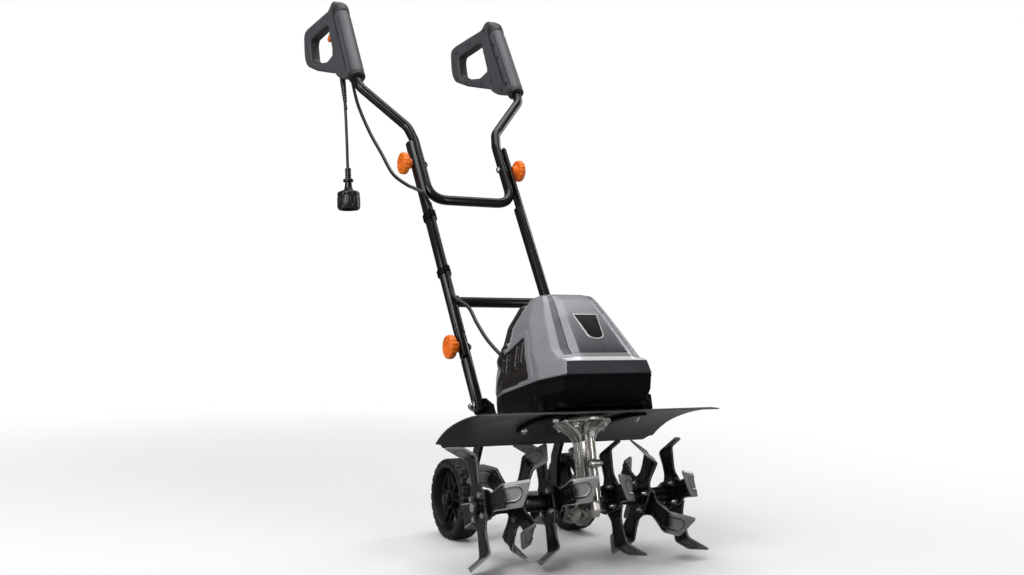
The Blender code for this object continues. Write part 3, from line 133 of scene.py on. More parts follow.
class Surface:
    """A principled material with drifting colour and gloss, and fine grain.

    color and drifted are the ends of the colour drift, rough those of the roughness. grain is
    (noise scale, bump height) and wave the height of a broader bump. An edge colour brings
    lighter, rounded edges, partly wear and partly a painted highlight along them; rounded alone
    only rounds them. A cavity-shade amount darkens the colour in hollows, a painted shade.
    """

    def __init__(self, name, color, drifted, rough, grain, metal=0.0, drift=14.0, coat=0.0,
                 specular=0.5, stretch=None, rounded=False, edge=None, edge_amount=0.8,
                 edge_radius=0.0007, edge_metal=None, edge_rough=None, dust=0.0, wave=0.0,
                 painted_cavity_shade=0.0):
        self.material = bpy.data.materials.new(name)
        self.material.use_nodes = True
        self.tree = self.material.node_tree
        self.principled = self.tree.nodes["Principled BSDF"]
        self.coords = self.add('TexCoord', {}).outputs['Object']
        if stretch:
            self.coords = self.add('Mapping', {'Scale': stretch, 'Vector': self.coords}).outputs[0]
        patches = self.noise(scale=drift, detail=4.0, roughness=0.55)
        self.color = self.mix_color(self.remap(patches, (0.35, 0.65), (0.0, 1.0)), color, drifted)
        patches = self.noise(scale=drift * 1.6, detail=1.5, roughness=0.5)
        self.rough = self.remap(patches, (0.30, 0.70), rough)
        self.metal = metal
        bump = self.bump(grain[1], scale=grain[0], detail=1.5, roughness=0.5)
        if edge or rounded:
            bevel = self.add('Bevel', {'Radius': edge_radius}, samples=6).outputs[0]
            feed(self.tree, bump, {'Normal': bevel})
        if edge:
            self.paint_edge_wear_and_highlights(bevel, edge, edge_amount, edge_metal, edge_rough)
        if dust:
            self.settle_dust(dust)
        # painted shade: the colour is darkened where the ambient occlusion finds hollows and
        # creases
        if painted_cavity_shade:
            shade = self.add('AmbientOcclusion', {'Distance': 0.006}, samples=4).outputs['AO']
            shade = self.remap(shade, (0.35, 0.85), (painted_cavity_shade, 0.0))
            self.color = self.mix_color(shade, self.color, tuple(c * 0.25 for c in color))
        if wave:
            broad = self.bump(wave, scale=70.0, detail=2.0, roughness=0.5)
            feed(self.tree, broad, {'Normal': bump.outputs[0]})
            bump = broad
        feed(self.tree, self.principled, {
            'Metallic': metal, 'Specular IOR Level': specular, 'Coat Weight': coat,
            'Coat Roughness': 0.12, 'Normal': bump.outputs[0]})
        self.connect()

    def connect(self):
        """Links colour, roughness and metal as they stand; called again after a change."""
        feed(self.tree, self.principled, {
            'Base Color': self.color, 'Roughness': self.rough, 'Metallic': self.metal})

    def paint_edge_wear_and_highlights(self, bevel, edge, amount, edge_metal, edge_rough):
        # the edge colour goes on the rounded edges: partly wear, partly a painted highlight along
        # each edge
        normal = self.add('NewGeometry', {}).outputs['Normal']
        turn = self.add('VectorMath', {0: bevel, 1: normal}, operation='DOT_PRODUCT')
        wear_and_highlight = self.remap(turn.outputs['Value'], (0.985, 0.88), (0.0, amount))
        broken = self.noise(scale=160.0, detail=5.0, roughness=0.6)
        wear_and_highlight = self.math('MULTIPLY', wear_and_highlight, self.remap(broken, (0.38, 0.62), (0.25, 1.0)))
        self.color = self.mix_color(wear_and_highlight, self.color, edge)
        if edge_rough is not None:
            self.rough = self.mix_value(wear_and_highlight, self.rough, edge_rough)
        if edge_metal is not None:
            self.metal = self.mix_value(wear_and_highlight, self.metal, edge_metal)

    def settle_dust(self, amount):
        """Patchy dust on whatever faces up."""
        normal = self.add('NewGeometry', {}).outputs['Normal']
        up = self.add('SeparateXYZ', {0: normal}).outputs['Z']
        patches = self.noise(scale=45.0, detail=8.0, roughness=0.7)
        dust = self.math('MULTIPLY', self.remap(up, (0.35, 1.0), (0.0, amount)),
                         self.remap(patches, (0.42, 0.62), (0.2, 1.0)))
        self.color = self.mix_color(dust, self.color, (0.30, 0.25, 0.20))
        self.rough = self.mix_value(dust, self.rough, 0.75)

    def add(self, kind, inputs, **settings):
        return add_node(self.tree, kind, inputs, **settings)

    def noise(self, scale, detail, roughness):
        return self.add('TexNoise', {'Scale': scale, 'Detail': detail, 'Roughness': roughness,
                                     'Vector': self.coords}).outputs['Fac']

    def bump(self, height, **noise):
        return self.add('Bump', {'Strength': 1.0, 'Distance': height,
                                 'Height': self.noise(**noise)})

    def remap(self, value, source, target):
        return remap(self.tree, value, source, target)

    def math(self, operation, a, b):
        return self.add('Math', {0: a, 1: b}, operation=operation).outputs[0]

    def mix_color(self, factor, a, b):
        return mix(self.tree, 'RGBA', factor, a, b)

    def mix_value(self, factor, a, b):
        return mix(self.tree, 'FLOAT', factor, a, b)

    def axis(self, index):
        coords = self.add('TexCoord', {}).outputs['Object']
        return self.add('SeparateXYZ', {0: coords}).outputs[index]


PAINT = Surface("gloss_black_paint", color=(0.0045, 0.0045, 0.005), drifted=(0.007, 0.007, 0.0075),
                rough=(0.20, 0.32), grain=(420, 0.000006), coat=0.06, specular=0.30)
TUBE = Surface("tube_enamel", color=(0.004, 0.004, 0.0045), drifted=(0.006, 0.006, 0.0065),
               rough=(0.18, 0.28), grain=(260, 0.000004), coat=0.06, specular=0.30)
# the pale edge colour on the tines is partly chipped enamel, partly a painted highlight along the
# bar edges
TINE = Surface("tine_enamel", color=(0.0045, 0.0045, 0.005), drifted=(0.009, 0.009, 0.0095),
               rough=(0.24, 0.30), grain=(350, 0.000004), coat=0.04, specular=0.20,
               edge=grey(0.85), edge_amount=1.0, edge_metal=0.10, edge_rough=0.35,
               edge_radius=0.0012)
# the guard's lighter edges are a painted highlight along its rim
GUARD = Surface("guard_powder_coat", color=(0.058, 0.058, 0.059), drifted=(0.072, 0.072, 0.073),
                rough=(0.30, 0.40), grain=(1300, 0.00005), metal=0.25, wave=0.00004,
                edge=grey(0.30), edge_amount=0.5, edge_radius=0.0009)
SHELL = Surface("grey_shell", color=srgb(140, 141, 146), drifted=srgb(133, 134, 139),
                rough=(0.30, 0.42), grain=(900, 0.000008), metal=0.15)
SHELL_DARK = Surface("dark_grey_shell", color=srgb(62, 63, 68), drifted=srgb(56, 57, 61),
                     rough=(0.24, 0.36), grain=(1500, 0.00003), metal=0.1)
BLACK = Surface("black_moulded_plastic", color=(0.0022, 0.0022, 0.0024),
                drifted=(0.0035, 0.0035, 0.0038), rough=(0.34, 0.42), grain=(900, 0.00001),
                specular=0.07)
# the vents' pale edges are painted highlights on the rib edges, and their recesses get painted
# shade
VENT = Surface("vent_plastic", color=(0.008, 0.006, 0.0055), drifted=(0.014, 0.011, 0.010),
               rough=(0.24, 0.36), grain=(1100, 0.00002), specular=0.35, painted_cavity_shade=0.4,
               edge=(0.62, 0.61, 0.61), edge_amount=1.0)
# the lighter edges of the grips and caps are painted highlights, and the grip shell gets painted
# shade in its hollows
GRIP = Surface("grip_plastic", color=srgb(84, 84, 89), drifted=srgb(76, 76, 81),
               rough=(0.38, 0.50), grain=(1400, 0.00004), painted_cavity_shade=0.5,
               edge=srgb(135), edge_amount=0.35, edge_radius=0.0009)
GRIP_DARK = Surface("grip_cap", color=srgb(44, 44, 47), drifted=srgb(38, 38, 41),
                    rough=(0.40, 0.55), grain=(1200, 0.0001),
                    edge=srgb(120), edge_amount=0.5, edge_radius=0.0008)
# the casting is darkened in its hollows as painted shade
CAST = Surface("cast_aluminium", color=(0.74, 0.72, 0.66), drifted=(0.62, 0.60, 0.55),
               rough=(0.20, 0.32), grain=(420, 0.00001), metal=1.0, wave=0.00001, painted_cavity_shade=0.90)
# the steel parts are darkened in their hollows as painted shade
STEEL = Surface("zinc_steel", color=grey(0.60), drifted=(0.50, 0.50, 0.51),
                rough=(0.20, 0.34), grain=(700, 0.00003), metal=1.0, painted_cavity_shade=0.4)
ORANGE = Surface("orange_plastic", color=(1.0, 0.215, 0.008), drifted=(0.95, 0.180, 0.006),
                 rough=(0.34, 0.46), grain=(700, 0.00001))
RUBBER = Surface("cable_rubber", color=grey(0.005), drifted=grey(0.008), rough=(0.26, 0.38),
                 grain=(500, 0.000008))
TRIM = Surface("bright_trim", color=grey(0.80), drifted=grey(0.72), rough=(0.18, 0.28),
               grain=(600, 0.000008), metal=0.35)
# the near-white ledge across the front is a painted highlight on its top face
LEDGE_HIGHLIGHT = Surface("ledge_highlight", color=srgb(226), drifted=srgb(216), rough=(0.24, 0.34),
                grain=(900, 0.000008), metal=0.1)
BADGE = Surface("badge_black", color=(0.004, 0.004, 0.0045), drifted=(0.006, 0.006, 0.0065),
                rough=(0.30, 0.40), grain=(900, 0.000004), specular=0.10)
# the wheel's lighter rims are a painted highlight along its edges
TYRE = Surface("wheel_plastic", color=(0.0045, 0.0045, 0.005), drifted=grey(0.008),
               rough=(0.30, 0.46), grain=(900, 0.00004), specular=0.32, dust=0.02,
               edge=grey(0.07), edge_amount=0.5, edge_radius=0.0010)
LAM = Surface("lamination_steel", color=(0.30, 0.30, 0.31), drifted=(0.22, 0.22, 0.23),
              rough=(0.35, 0.5), grain=(500, 0.00005), metal=1.0, stretch=(1, 1, 12), rounded=True)
COPPER = Surface("copper_winding", color=(0.62, 0.28, 0.12), drifted=(0.5, 0.2, 0.08),
                 rough=(0.3, 0.45), grain=(500, 0.0002), metal=1.0, stretch=(1, 1, 8), rounded=True)
BRONZE = Surface("bronze_gear", color=(0.55, 0.38, 0.14), drifted=(0.45, 0.3, 0.1),
                 rough=(0.28, 0.42), grain=(600, 0.00005), metal=1.0, edge=(0.8, 0.65, 0.35))
TINE_GROOVE = Surface("tine_groove", color=grey(0.006), drifted=grey(0.012), rough=(0.40, 0.50),
                      grain=(500, 0.000006), specular=0.2)
# pale strip near both edges of each bar: a painted highlight on the ground bevels
TINE_EDGE_HIGHLIGHT = Surface("tine_edge_highlight", color=grey(0.60), drifted=grey(0.07), rough=(0.24, 0.34),
                    grain=(500, 0.000006), metal=0.25, drift=32.0, specular=0.4)
PANEL_SURFACE = dict(rough=(0.26, 0.36), grain=(1500, 0.00003), metal=0.15)


def wear_tine_tips():
    """The enamel is gone far from the axle, where the blades work the soil."""
    y = TINE.math('ADD', TINE.axis(1), FORWARD_SHIFT)
    z = TINE.math('SUBTRACT', TINE.axis(2), AXLE_Z)
    squares = TINE.math('ADD', TINE.math('MULTIPLY', y, y), TINE.math('MULTIPLY', z, z))
    radius = TINE.math('SQRT', squares, 0.0)
    ragged = TINE.math('MULTIPLY', TINE.noise(scale=38.0, detail=5.0, roughness=0.6), 0.010)
    worn = TINE.remap(TINE.math('ADD', radius, ragged), (0.0885, 0.0935), (0.0, 0.80))
    TINE.color = TINE.mix_color(worn, TINE.color, (0.34, 0.34, 0.345))
    TINE.rough = TINE.mix_value(worn, TINE.rough, 0.33)
    TINE.metal = TINE.mix_value(worn, TINE.metal, 0.55)
    TINE.connect()


def front_panel():
    """Light at the top, darker to the bottom: a painted reflection on the glossy panel."""
    panel = Surface("front_panel", color=srgb(150, 151, 156), drifted=srgb(145, 146, 151),
                    **PANEL_SURFACE)
    # painted reflection: the panel darkens towards its bottom edge
    low = panel.remap(panel.axis(2), (0.372, 0.446), (1.0, 0.0))
    panel.color = panel.mix_color(low, panel.color, srgb(62, 63, 67))
    panel.connect()
    return panel


wear_tine_tips()
PANEL = front_panel()


def paint(ob, *surfaces):
    ob.data.materials.clear()
    for surface in surfaces:
        ob.data.materials.append(surface.material)


# ------------------------------------------------------------------ shape helpers
def shade(ob, angle=35.0):
    """Smooth shading with edges above the angle kept sharp."""
    ob.data.shade_smooth()
    ob.data.set_sharp_from_angle(angle=math.radians(angle))
    return ob


def link_mesh(bm):
    mesh = bpy.data.meshes.new("part")
    bm.to_mesh(mesh)
    bm.free()
    ob = bpy.data.objects.new("part", mesh)
    bpy.context.scene.collection.objects.link(ob)
    return ob


def solid(bm, smooth=35.0, matrix=None):
    """Closed mesh with its normals outwards, moved by matrix."""
    bmesh.ops.recalc_face_normals(bm, faces=bm.faces)
    if bm.calc_volume(signed=True) < 0:
        bmesh.ops.reverse_faces(bm, faces=bm.faces)
    bm.normal_update()
    ob = link_mesh(bm)
    if matrix is not None:
        ob.data.transform(matrix)
    return shade(ob, smooth)


def add_modifier(ob, kind, **settings):
    modifier = ob.modifiers.new(kind.lower(), kind)
    for key, value in settings.items():
        setattr(modifier, key, value)


def apply_modifiers(ob):
    bpy.context.view_layer.update()
    graph = bpy.context.evaluated_depsgraph_get()
    mesh = bpy.data.meshes.new_from_object(ob.evaluated_get(graph))
    ob.modifiers.clear()
    ob.data = mesh


def cut(ob, *cutters):
    for cutter in cutters:
        add_modifier(ob, 'BOOLEAN', operation='DIFFERENCE', solver='EXACT', object=cutter)
        apply_modifiers(ob)
        bpy.data.objects.remove(cutter, do_unlink=True)
    return shade(ob)


def bevelled(ob, width, segments=3, angle=35.0):
    add_modifier(ob, 'BEVEL', width=width, segments=segments, limit_method='ANGLE',
                 angle_limit=math.radians(angle))
    apply_modifiers(ob)
    return shade(ob)


def remeshed(ob, voxel, ratio):
    """Melts overlapping bodies into one skin and thins it to ratio."""
    add_modifier(ob, 'REMESH', mode='VOXEL', voxel_size=voxel, use_smooth_shade=True)
    add_modifier(ob, 'SMOOTH', factor=0.5, iterations=5)
    add_modifier(ob, 'DECIMATE', ratio=ratio)
    apply_modifiers(ob)
    ob.data.shade_smooth()
    return ob


def join(obs):
    """Puts unpainted meshes in one object, side by side."""
    bm = bmesh.new()
    for ob in obs:
        bm.from_mesh(ob.data)
    for ob in obs:
        bpy.data.objects.remove(ob, do_unlink=True)
    return link_mesh(bm)


def loft(rings, matrix=None, smooth=35.0):
    bm = bmesh.new()
    rows = [[bm.verts.new(p) for p in ring] for ring in rings]
    count = len(rows[0])
    for a, b in zip(rows, rows[1:]):
        for i in range(count):
            k = (i + 1) % count
            bm.faces.new((a[i], a[k], b[k], b[i]))
    bm.faces.new(rows[0])
    bm.faces.new(list(reversed(rows[-1])))
    return solid(bm, smooth, matrix)


def mirrored(profile, length):
    """A turning profile followed by its mirror image from the other end."""
    return profile + [(length - d, radius) for d, radius in reversed(profile)]


def turned(start, toward, profile, segments=48, smooth=35.0):
    """Turned body; the profile lists (distance from start, radius)."""
    start, toward = Vector(start), Vector(toward)
    turn = Vector((0, 0, 1)).rotation_difference(toward - start)
    place = Matrix.Translation(start) @ turn.to_matrix().to_4x4()
    circle = [2 * math.pi * i / segments for i in range(segments)]
    rings = [[(radius * math.cos(a), radius * math.sin(a), d) for a in circle]
             for d, radius in profile]
    return loft(rings, place, smooth)


def distance(start, end):
    return (Vector(end) - Vector(start)).length


def rod(start, end, radius, segments):
    return turned(start, end, [(0, radius), (distance(start, end), radius)], segments)


def hex_nut(start, end, radius):
    """Hexagon with turned-down corners at both ends."""
    d = distance(start, end)
    return turned(start, end, [(0, radius * 0.90), (d * 0.12, radius), (d * 0.88, radius),
                               (d, radius * 0.90)], 6, 25)


def box(x, y, z, matrix=None, bevel=0.0, segments=3):
    """Box between the two values of each of x, y and z."""
    bm = bmesh.new()
    bmesh.ops.create_cube(bm, size=1.0)
    bm.transform(Matrix.Translation([(a + b) / 2 for a, b in (x, y, z)])
                 @ Matrix.Diagonal((*(abs(b - a) for a, b in (x, y, z)), 1)))
    ob = solid(bm, 35.0, matrix)
    return bevelled(ob, bevel, segments) if bevel else ob


def prism(outline, x0, x1, matrix=None):
    """A (y, z) outline extruded from x0 to x1."""
    bm = bmesh.new()
    face = bm.faces.new([bm.verts.new((x0, y, z)) for y, z in outline])
    made = bmesh.ops.extrude_face_region(bm, geom=[face])['geom']
    bmesh.ops.translate(bm, verts=[v for v in made if isinstance(v, bmesh.types.BMVert)],
                        vec=(x1 - x0, 0, 0))
    return solid(bm, 35.0, matrix)


def eased_corner(p, corner, q, steps):
    """Points of a parabola from p to q that bends round the corner."""
    return [p.lerp(corner, k / steps).lerp(corner.lerp(q, k / steps), k / steps)
            for k in range(steps + 1)]


def round_outline(outline, radius, steps=6):
    """Closed outline with every corner eased."""
    out = []
    for i, point in enumerate(outline):
        a, b, c = Vector(outline[i - 1]), Vector(point), Vector(outline[(i + 1) % len(outline)])
        to_a = min(radius, (a - b).length * 0.45)
        to_c = min(radius, (c - b).length * 0.45)
        p, q = b + (a - b).normalized() * to_a, b + (c - b).normalized() * to_c
        out += [tuple(e) for e in eased_corner(p, b, q, steps)]
    return out


def grown(outline, by):
    """Closed outline moved away from its middle."""
    count = len(outline)
    middle = Vector((sum(p[0] for p in outline) / count, sum(p[1] for p in outline) / count))
    out = []
    for i in range(count):
        a, b, c = Vector(outline[i - 1]), Vector(outline[i]), Vector(outline[(i + 1) % count])
        t = ((b - a).normalized() + (c - b).normalized()).normalized()
        n = Vector((t.y, -t.x))
        if n.dot(b - middle) < 0:
            n = -n
        out.append(tuple(b + n * by))
    return out


def corner_cut(outline):
    """Closed outline after two rounds of corner cutting."""
    for _ in range(2):
        out = []
        for i in range(len(outline)):
            a, b = Vector(outline[i]), Vector(outline[(i + 1) % len(outline)])
            out += [a.lerp(b, 0.25), a.lerp(b, 0.75)]
        outline = [tuple(p) for p in out]
    return outline


def smooth_path(points, steps):
    """Catmull-Rom curve through the points."""
    pts = [Vector(p) for p in points]
    pts = [pts[0] * 2 - pts[1]] + pts + [pts[-1] * 2 - pts[-2]]
    out = []
    for i in range(1, len(pts) - 2):
        a, b, c, d = pts[i - 1:i + 3]
        for k in range(steps):
            t = k / steps
            out.append(0.5 * (2 * b + (c - a) * t + (2 * a - 5 * b + 4 * c - d) * t * t
                              + (3 * b - a - 3 * c + d) * t ** 3))
    out.append(pts[-2])
    return out


def fillet(points, radii, steps):
    """Open path with its inner corners rounded, one radius each."""
    out = [Vector(points[0])]
    for i, radius in enumerate(radii, 1):
        a, b, c = Vector(points[i - 1]), Vector(points[i]), Vector(points[i + 1])
        u, v = (a - b).normalized(), (c - b).normalized()
        t = min(radius / math.tan(u.angle(v) / 2), (a - b).length * 0.49, (c - b).length * 0.49)
        out += eased_corner(b + u * t, b, b + v * t, steps)
    out.append(Vector(points[-1]))
    return out


def sweep(points, radius, segments):
    """Round tube along the points."""
    pts = [Vector(p) for p in points]
    last = len(pts) - 1
    side = (pts[1] - pts[0]).normalized().orthogonal().normalized()
    circle = [2 * math.pi * k / segments for k in range(segments)]
    rings = []
    for i, p in enumerate(pts):
        t = (pts[min(i + 1, last)] - pts[max(i - 1, 0)]).normalized()
        side = (side - t * side.dot(t)).normalized()
        up = t.cross(side)
        rings.append([p + side * (radius * math.cos(a)) + up * (radius * math.sin(a))
                      for a in circle])
    return loft(rings)


def smooth_step(x, a, b):
    t = max(0.0, min(1.0, (x - a) / (b - a)))
    return t * t * (3 - 2 * t)


def give(ob, name, body, slot, surface, *replaced):
    """Names, paints and places a finished piece under its body and hides the nodes it replaces;
    None keeps its paint.
    """
    ob.name = name
    if surface:
        paint(ob, surface)
    ob.data.transform(TO_FRAME)
    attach(ob, body)
    if replaced:
        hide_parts(*replaced)


def hang(ob, name, end, replaced):
    """Finishes a cable that runs between two bodies: names, paints and places it, unparented, and
    hides the node it replaces.
    """
    ob.name = name
    paint(ob, RUBBER)
    ob.data.transform(TO_FRAME)
    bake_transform(ob)
    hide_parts(replaced)


# ------------------------------------------------------------------ handle tubes
LEAN_BACK = Matrix.Rotation(-math.atan(HANDLE_SLOPE), 4, 'X')
LOW_JOINT = Matrix.Translation((0, *LOW_KNOB)) @ LEAN_BACK
TOP_JOINT = Matrix.Translation((0, *TOP_KNOB)) @ LEAN_BACK
LAP = 0.0240            # a tube runs this far past the lower knob
LAP_CUT = 0.0290        # the flattened lap reaches this far from the knob
LAP_GAP = 0.0003
CUT_REACH = 0.02        # cutters reach this far from the tube axis
CROSSBAR_UP = 0.1010    # from the lower knob
# (distance, radius) from the end of the crossbar
CROSSBAR_END = [(0, 0.0100), (0.0080, 0.0104), (0.0105, 0.0132), (0.0125, 0.0128),
                (0.0145, 0.0106), (0.0170, 0.0100)]


def frame_tube(start, end):
    ends = [(0.0, TUBE_RADIUS - 0.0014), (0.0004, TUBE_RADIUS - 0.0006), (0.0014, TUBE_RADIUS)]
    return turned(start, end, mirrored(ends, distance(start, end)))


def lap_cutter(x0, x1, z0, z1, joint):
    return box((x0, x1), (-CUT_REACH, CUT_REACH), (z0, z1), joint)


for side, sx in SIDES:
    leg = frame_tube(on_handle(sx * FRAME_X, LEG_PIVOT, -0.0130),
                     on_handle(sx * FRAME_X, LOW_KNOB, LAP))
    cut(leg, lap_cutter(sx * (FRAME_X - LAP_GAP), sx * (FRAME_X + CUT_REACH), -LAP_CUT, 0.05,
                        LOW_JOINT))
    give(leg, "lower_leg_tube_" + side, "chassis", "black_paint", TUBE, "lower_leg_" + side)

middle = []
for side, sx in SIDES:
    tube = frame_tube(on_handle(sx * FRAME_X, LOW_KNOB, -LAP),
                      on_handle(sx * FRAME_X, TOP_KNOB, 0.0550))
    inner = sx * (FRAME_X - CUT_REACH)
    middle.append(cut(
        tube, lap_cutter(sx * (FRAME_X + LAP_GAP), inner, -0.05, LAP_CUT, LOW_JOINT),
        lap_cutter(sx * FRAME_X, inner, -0.1040, 0.08, TOP_JOINT)))
middle.append(turned(on_handle(-FRAME_X, LOW_KNOB, CROSSBAR_UP),
                     on_handle(FRAME_X, LOW_KNOB, CROSSBAR_UP),
                     mirrored(CROSSBAR_END, 2 * FRAME_X), 40))
give(shade(join(middle)), "middle_frame_tubes", "middle_handle", "black_paint", TUBE,
     "middle_frame")

# axis of the hand part of the right grip; its mirror image is on the left
GRIP_X = 0.190
HAND_LOW = Vector((GRIP_X, 0.6583, 0.8964))
HAND_TOP = Vector((GRIP_X, 0.7713, 1.0504))
HAND_UP = (HAND_TOP - HAND_LOW).normalized()
HAND_BACK = Vector((0.0, HAND_UP.z, -HAND_UP.y))

handle_half = [HAND_LOW.lerp(HAND_TOP, 0.80), HAND_LOW.lerp(HAND_TOP, -0.12),
               on_handle(0.1030, TOP_KNOB, 0.0990), on_handle(UPPER_X, TOP_KNOB, 0.0630),
               on_handle(UPPER_X - 0.0015, TOP_KNOB, -0.0905), on_handle(0.0, TOP_KNOB, -0.0905)]
handle_path = handle_half + [(-p.x, p.y, p.z) for p in handle_half[-2::-1]]
bend_radii = [0.030, 0.035, 0.020, 0.040]
upper_handle = sweep(fillet(handle_path, bend_radii + [0.010] + bend_radii[::-1], 12),
                     UPPER_RADIUS, 36)
give(upper_handle, "upper_handle_tube", "handlebar", "black_paint", TUBE, "upper_handle")

# ------------------------------------------------------------------ scalloped knobs and bolts
SCALLOPS, SCALLOP_DEPTH, KNOB_SEGMENTS = 16, 0.019, 192
# (x, radius, share of the scallop depth), from the hub to the outer face
KNOB_PROFILE = [
    (0.1171, 0.0080, 0.0), (0.1174, 0.0098, 0.0), (0.1180, 0.0105, 0.0), (0.1235, 0.0105, 0.0),
    (0.1252, 0.0112, 0.0), (0.1262, 0.0140, 0.2), (0.1264, 0.0195, 0.7), (0.1270, 0.0213, 1.0),
    (0.1283, 0.0221, 1.0), (0.1300, 0.0223, 1.0), (0.1360, 0.0223, 1.0), (0.1378, 0.0219, 1.0),
    (0.1390, 0.0207, 1.0), (0.1395, 0.0190, 0.6), (0.1395, 0.0172, 0.1), (0.1391, 0.0166, 0.0),
    (0.1383, 0.0162, 0.0), (0.1382, 0.0148, 0.0), (0.1390, 0.0143, 0.0), (0.1394, 0.0136, 0.0),
    (0.1395, 0.0086, 0.0), (0.1392, 0.0080, 0.0), (0.1380, 0.0076, 0.0), (0.1379, 0.0046, 0.0),
    (0.1386, 0.0042, 0.0), (0.1390, 0.0034, 0.0), (0.1392, 0.0012, 0.0)]
BOLT_HEAD = [(0.0, 0.0072), (0.0010, 0.0074), (0.0011, 0.0060), (0.0024, 0.0060),
             (0.0036, 0.0050), (0.0046, 0.0030), (0.0050, 0.0010)]


def knob(sx, y, z):
    rings = []
    for x, radius, share in KNOB_PROFILE:
        ring = []
        for i in range(KNOB_SEGMENTS):
            a = 2 * math.pi * i / KNOB_SEGMENTS
            wave = math.cos(SCALLOPS * a)
            wave = math.copysign(abs(wave) ** 0.6, wave)
            r = radius * (1.0 + share * SCALLOP_DEPTH * wave)
            ring.append((sx * x, y + r * math.cos(a), z + r * math.sin(a)))
        rings.append(ring)
    return loft(rings, smooth=40)


def clamp_bolt(sx, y, z, inner_x):
    """Domed head on the inner side, and a plain shank out into the knob."""
    head = turned((sx * (inner_x + 0.0015), y, z), (sx * (inner_x - 0.0035), y, z), BOLT_HEAD, 40)
    return join([head, rod((sx * inner_x, y, z), (sx * 0.1330, y, z), 0.0030, 24)])


for level, yz in (("lower", LOW_KNOB), ("upper", TOP_KNOB)):
    for side, sx in SIDES:
        place = "%s_%s" % (level, side)
        give(knob(sx, *yz), "knob_wheel_" + place, place + "_knob", "orange_plastic", ORANGE,
             "knob_" + place)
for level, yz, inner_x in (("lower", LOW_KNOB, FRAME_X - 0.0130),
                           ("upper", TOP_KNOB, UPPER_X - 0.0120)):
    for side, sx in SIDES:
        place = "%s_%s" % (level, side)
        give(clamp_bolt(sx, *yz, inner_x), "carriage_bolt_" + place, "middle_handle",
             "bright_steel", STEEL, "clamp_bolt_" + place)

# ------------------------------------------------------------------ D grips
# (y, z) outlines of the D and of its hand opening
GRIP_OUTER = [
    (0.6760, 0.9020), (0.7080, 0.9000), (0.7260, 0.9010), (0.7580, 0.9110), (0.7730, 0.9210),
    (0.8010, 0.9240), (0.9000, 0.9410), (0.9680, 0.9590), (0.9860, 0.9740), (0.9950, 0.9950),
    (1.0020, 1.0330), (0.9950, 1.0440), (0.9770, 1.0490), (0.8270, 1.0670), (0.8130, 1.0790),
    (0.7990, 1.0830), (0.7830, 1.0790), (0.7700, 1.0600)]
GRIP_OPENING = [
    (0.7880, 0.9640), (0.8300, 0.9510), (0.9050, 0.9570), (0.9400, 0.9690), (0.9540, 1.0080),
    (0.9480, 1.0190), (0.8440, 1.0350), (0.8260, 1.0330)]
OUTER_LINE = round_outline(GRIP_OUTER, 0.0110, 5)
OPENING_LINE = round_outline(GRIP_OPENING, 0.0070)
GRIP_HALF, LINER_HALF = 0.0120, 0.0098      # half thicknesses
# (y, z) of the screws on the D, and places of three more up the hand part
LOOP_SCREWS = [
    (0.7080, 0.9100), (0.7640, 0.9380), (0.8150, 0.9370), (0.9000, 0.9490), (0.9560, 0.9660),
    (0.9730, 1.0030), (0.9680, 1.0310), (0.8900, 1.0420), (0.8120, 1.0620)]
HAND_SCREWS = (0.0300, 0.1100, 0.1500)
# (distance, radius) profiles; the hand part also has an end that depends on its length
HAND_PROFILE = [(0.0, 0.0160), (0.0015, 0.0172), (0.0030, 0.0175), (0.0450, 0.0176),
                (0.1000, 0.0179), (0.1500, 0.0178)]
HAND_END = [(0, 0.0174), (0.0050, 0.0165), (0.0090, 0.0140), (0.0110, 0.0090)]
CAP_PROFILE = [(0.0, 0.0178), (0.0008, 0.0184), (0.0030, 0.0186), (0.0036, 0.0180),
               (0.0046, 0.0180), (0.0052, 0.0185), (0.0150, 0.0184), (0.0195, 0.0178),
               (0.0230, 0.0164), (0.0255, 0.0144), (0.0272, 0.0116), (0.0282, 0.0080),
               (0.0287, 0.0030)]
COLLAR_PROFILE = [(0.0, 0.0124), (0.0004, 0.0160), (0.0014, 0.0178), (0.0030, 0.0182),
                  (0.0046, 0.0182), (0.0050, 0.0177), (0.0062, 0.0177), (0.0066, 0.0182),
                  (0.0084, 0.0182), (0.0088, 0.0177), (0.0130, 0.0176)]
LOOP_SCREW_PROFILE = [(0, 0.0042), (0.0002, 0.0042), (0.0005, 0.0038), (0.0005, 0.0028),
                      (0.0001, 0.0026), (0.0001, 0.0004)]
HAND_SCREW_PROFILE = [(0, 0.0046), (0.0006, 0.0044), (0.0010, 0.0038), (0.0010, 0.0028),
                      (0.0003, 0.0026), (0.0003, 0.0004)]
# (offset to the back, offset sideways, start, end, radius) of the seams along the hand part
SEAMS = ((0.0106, 0.0149, 0.0480, 0.1850, 0.0012), (-0.0098, 0.0144, 0.0140, 0.1730, 0.0008))


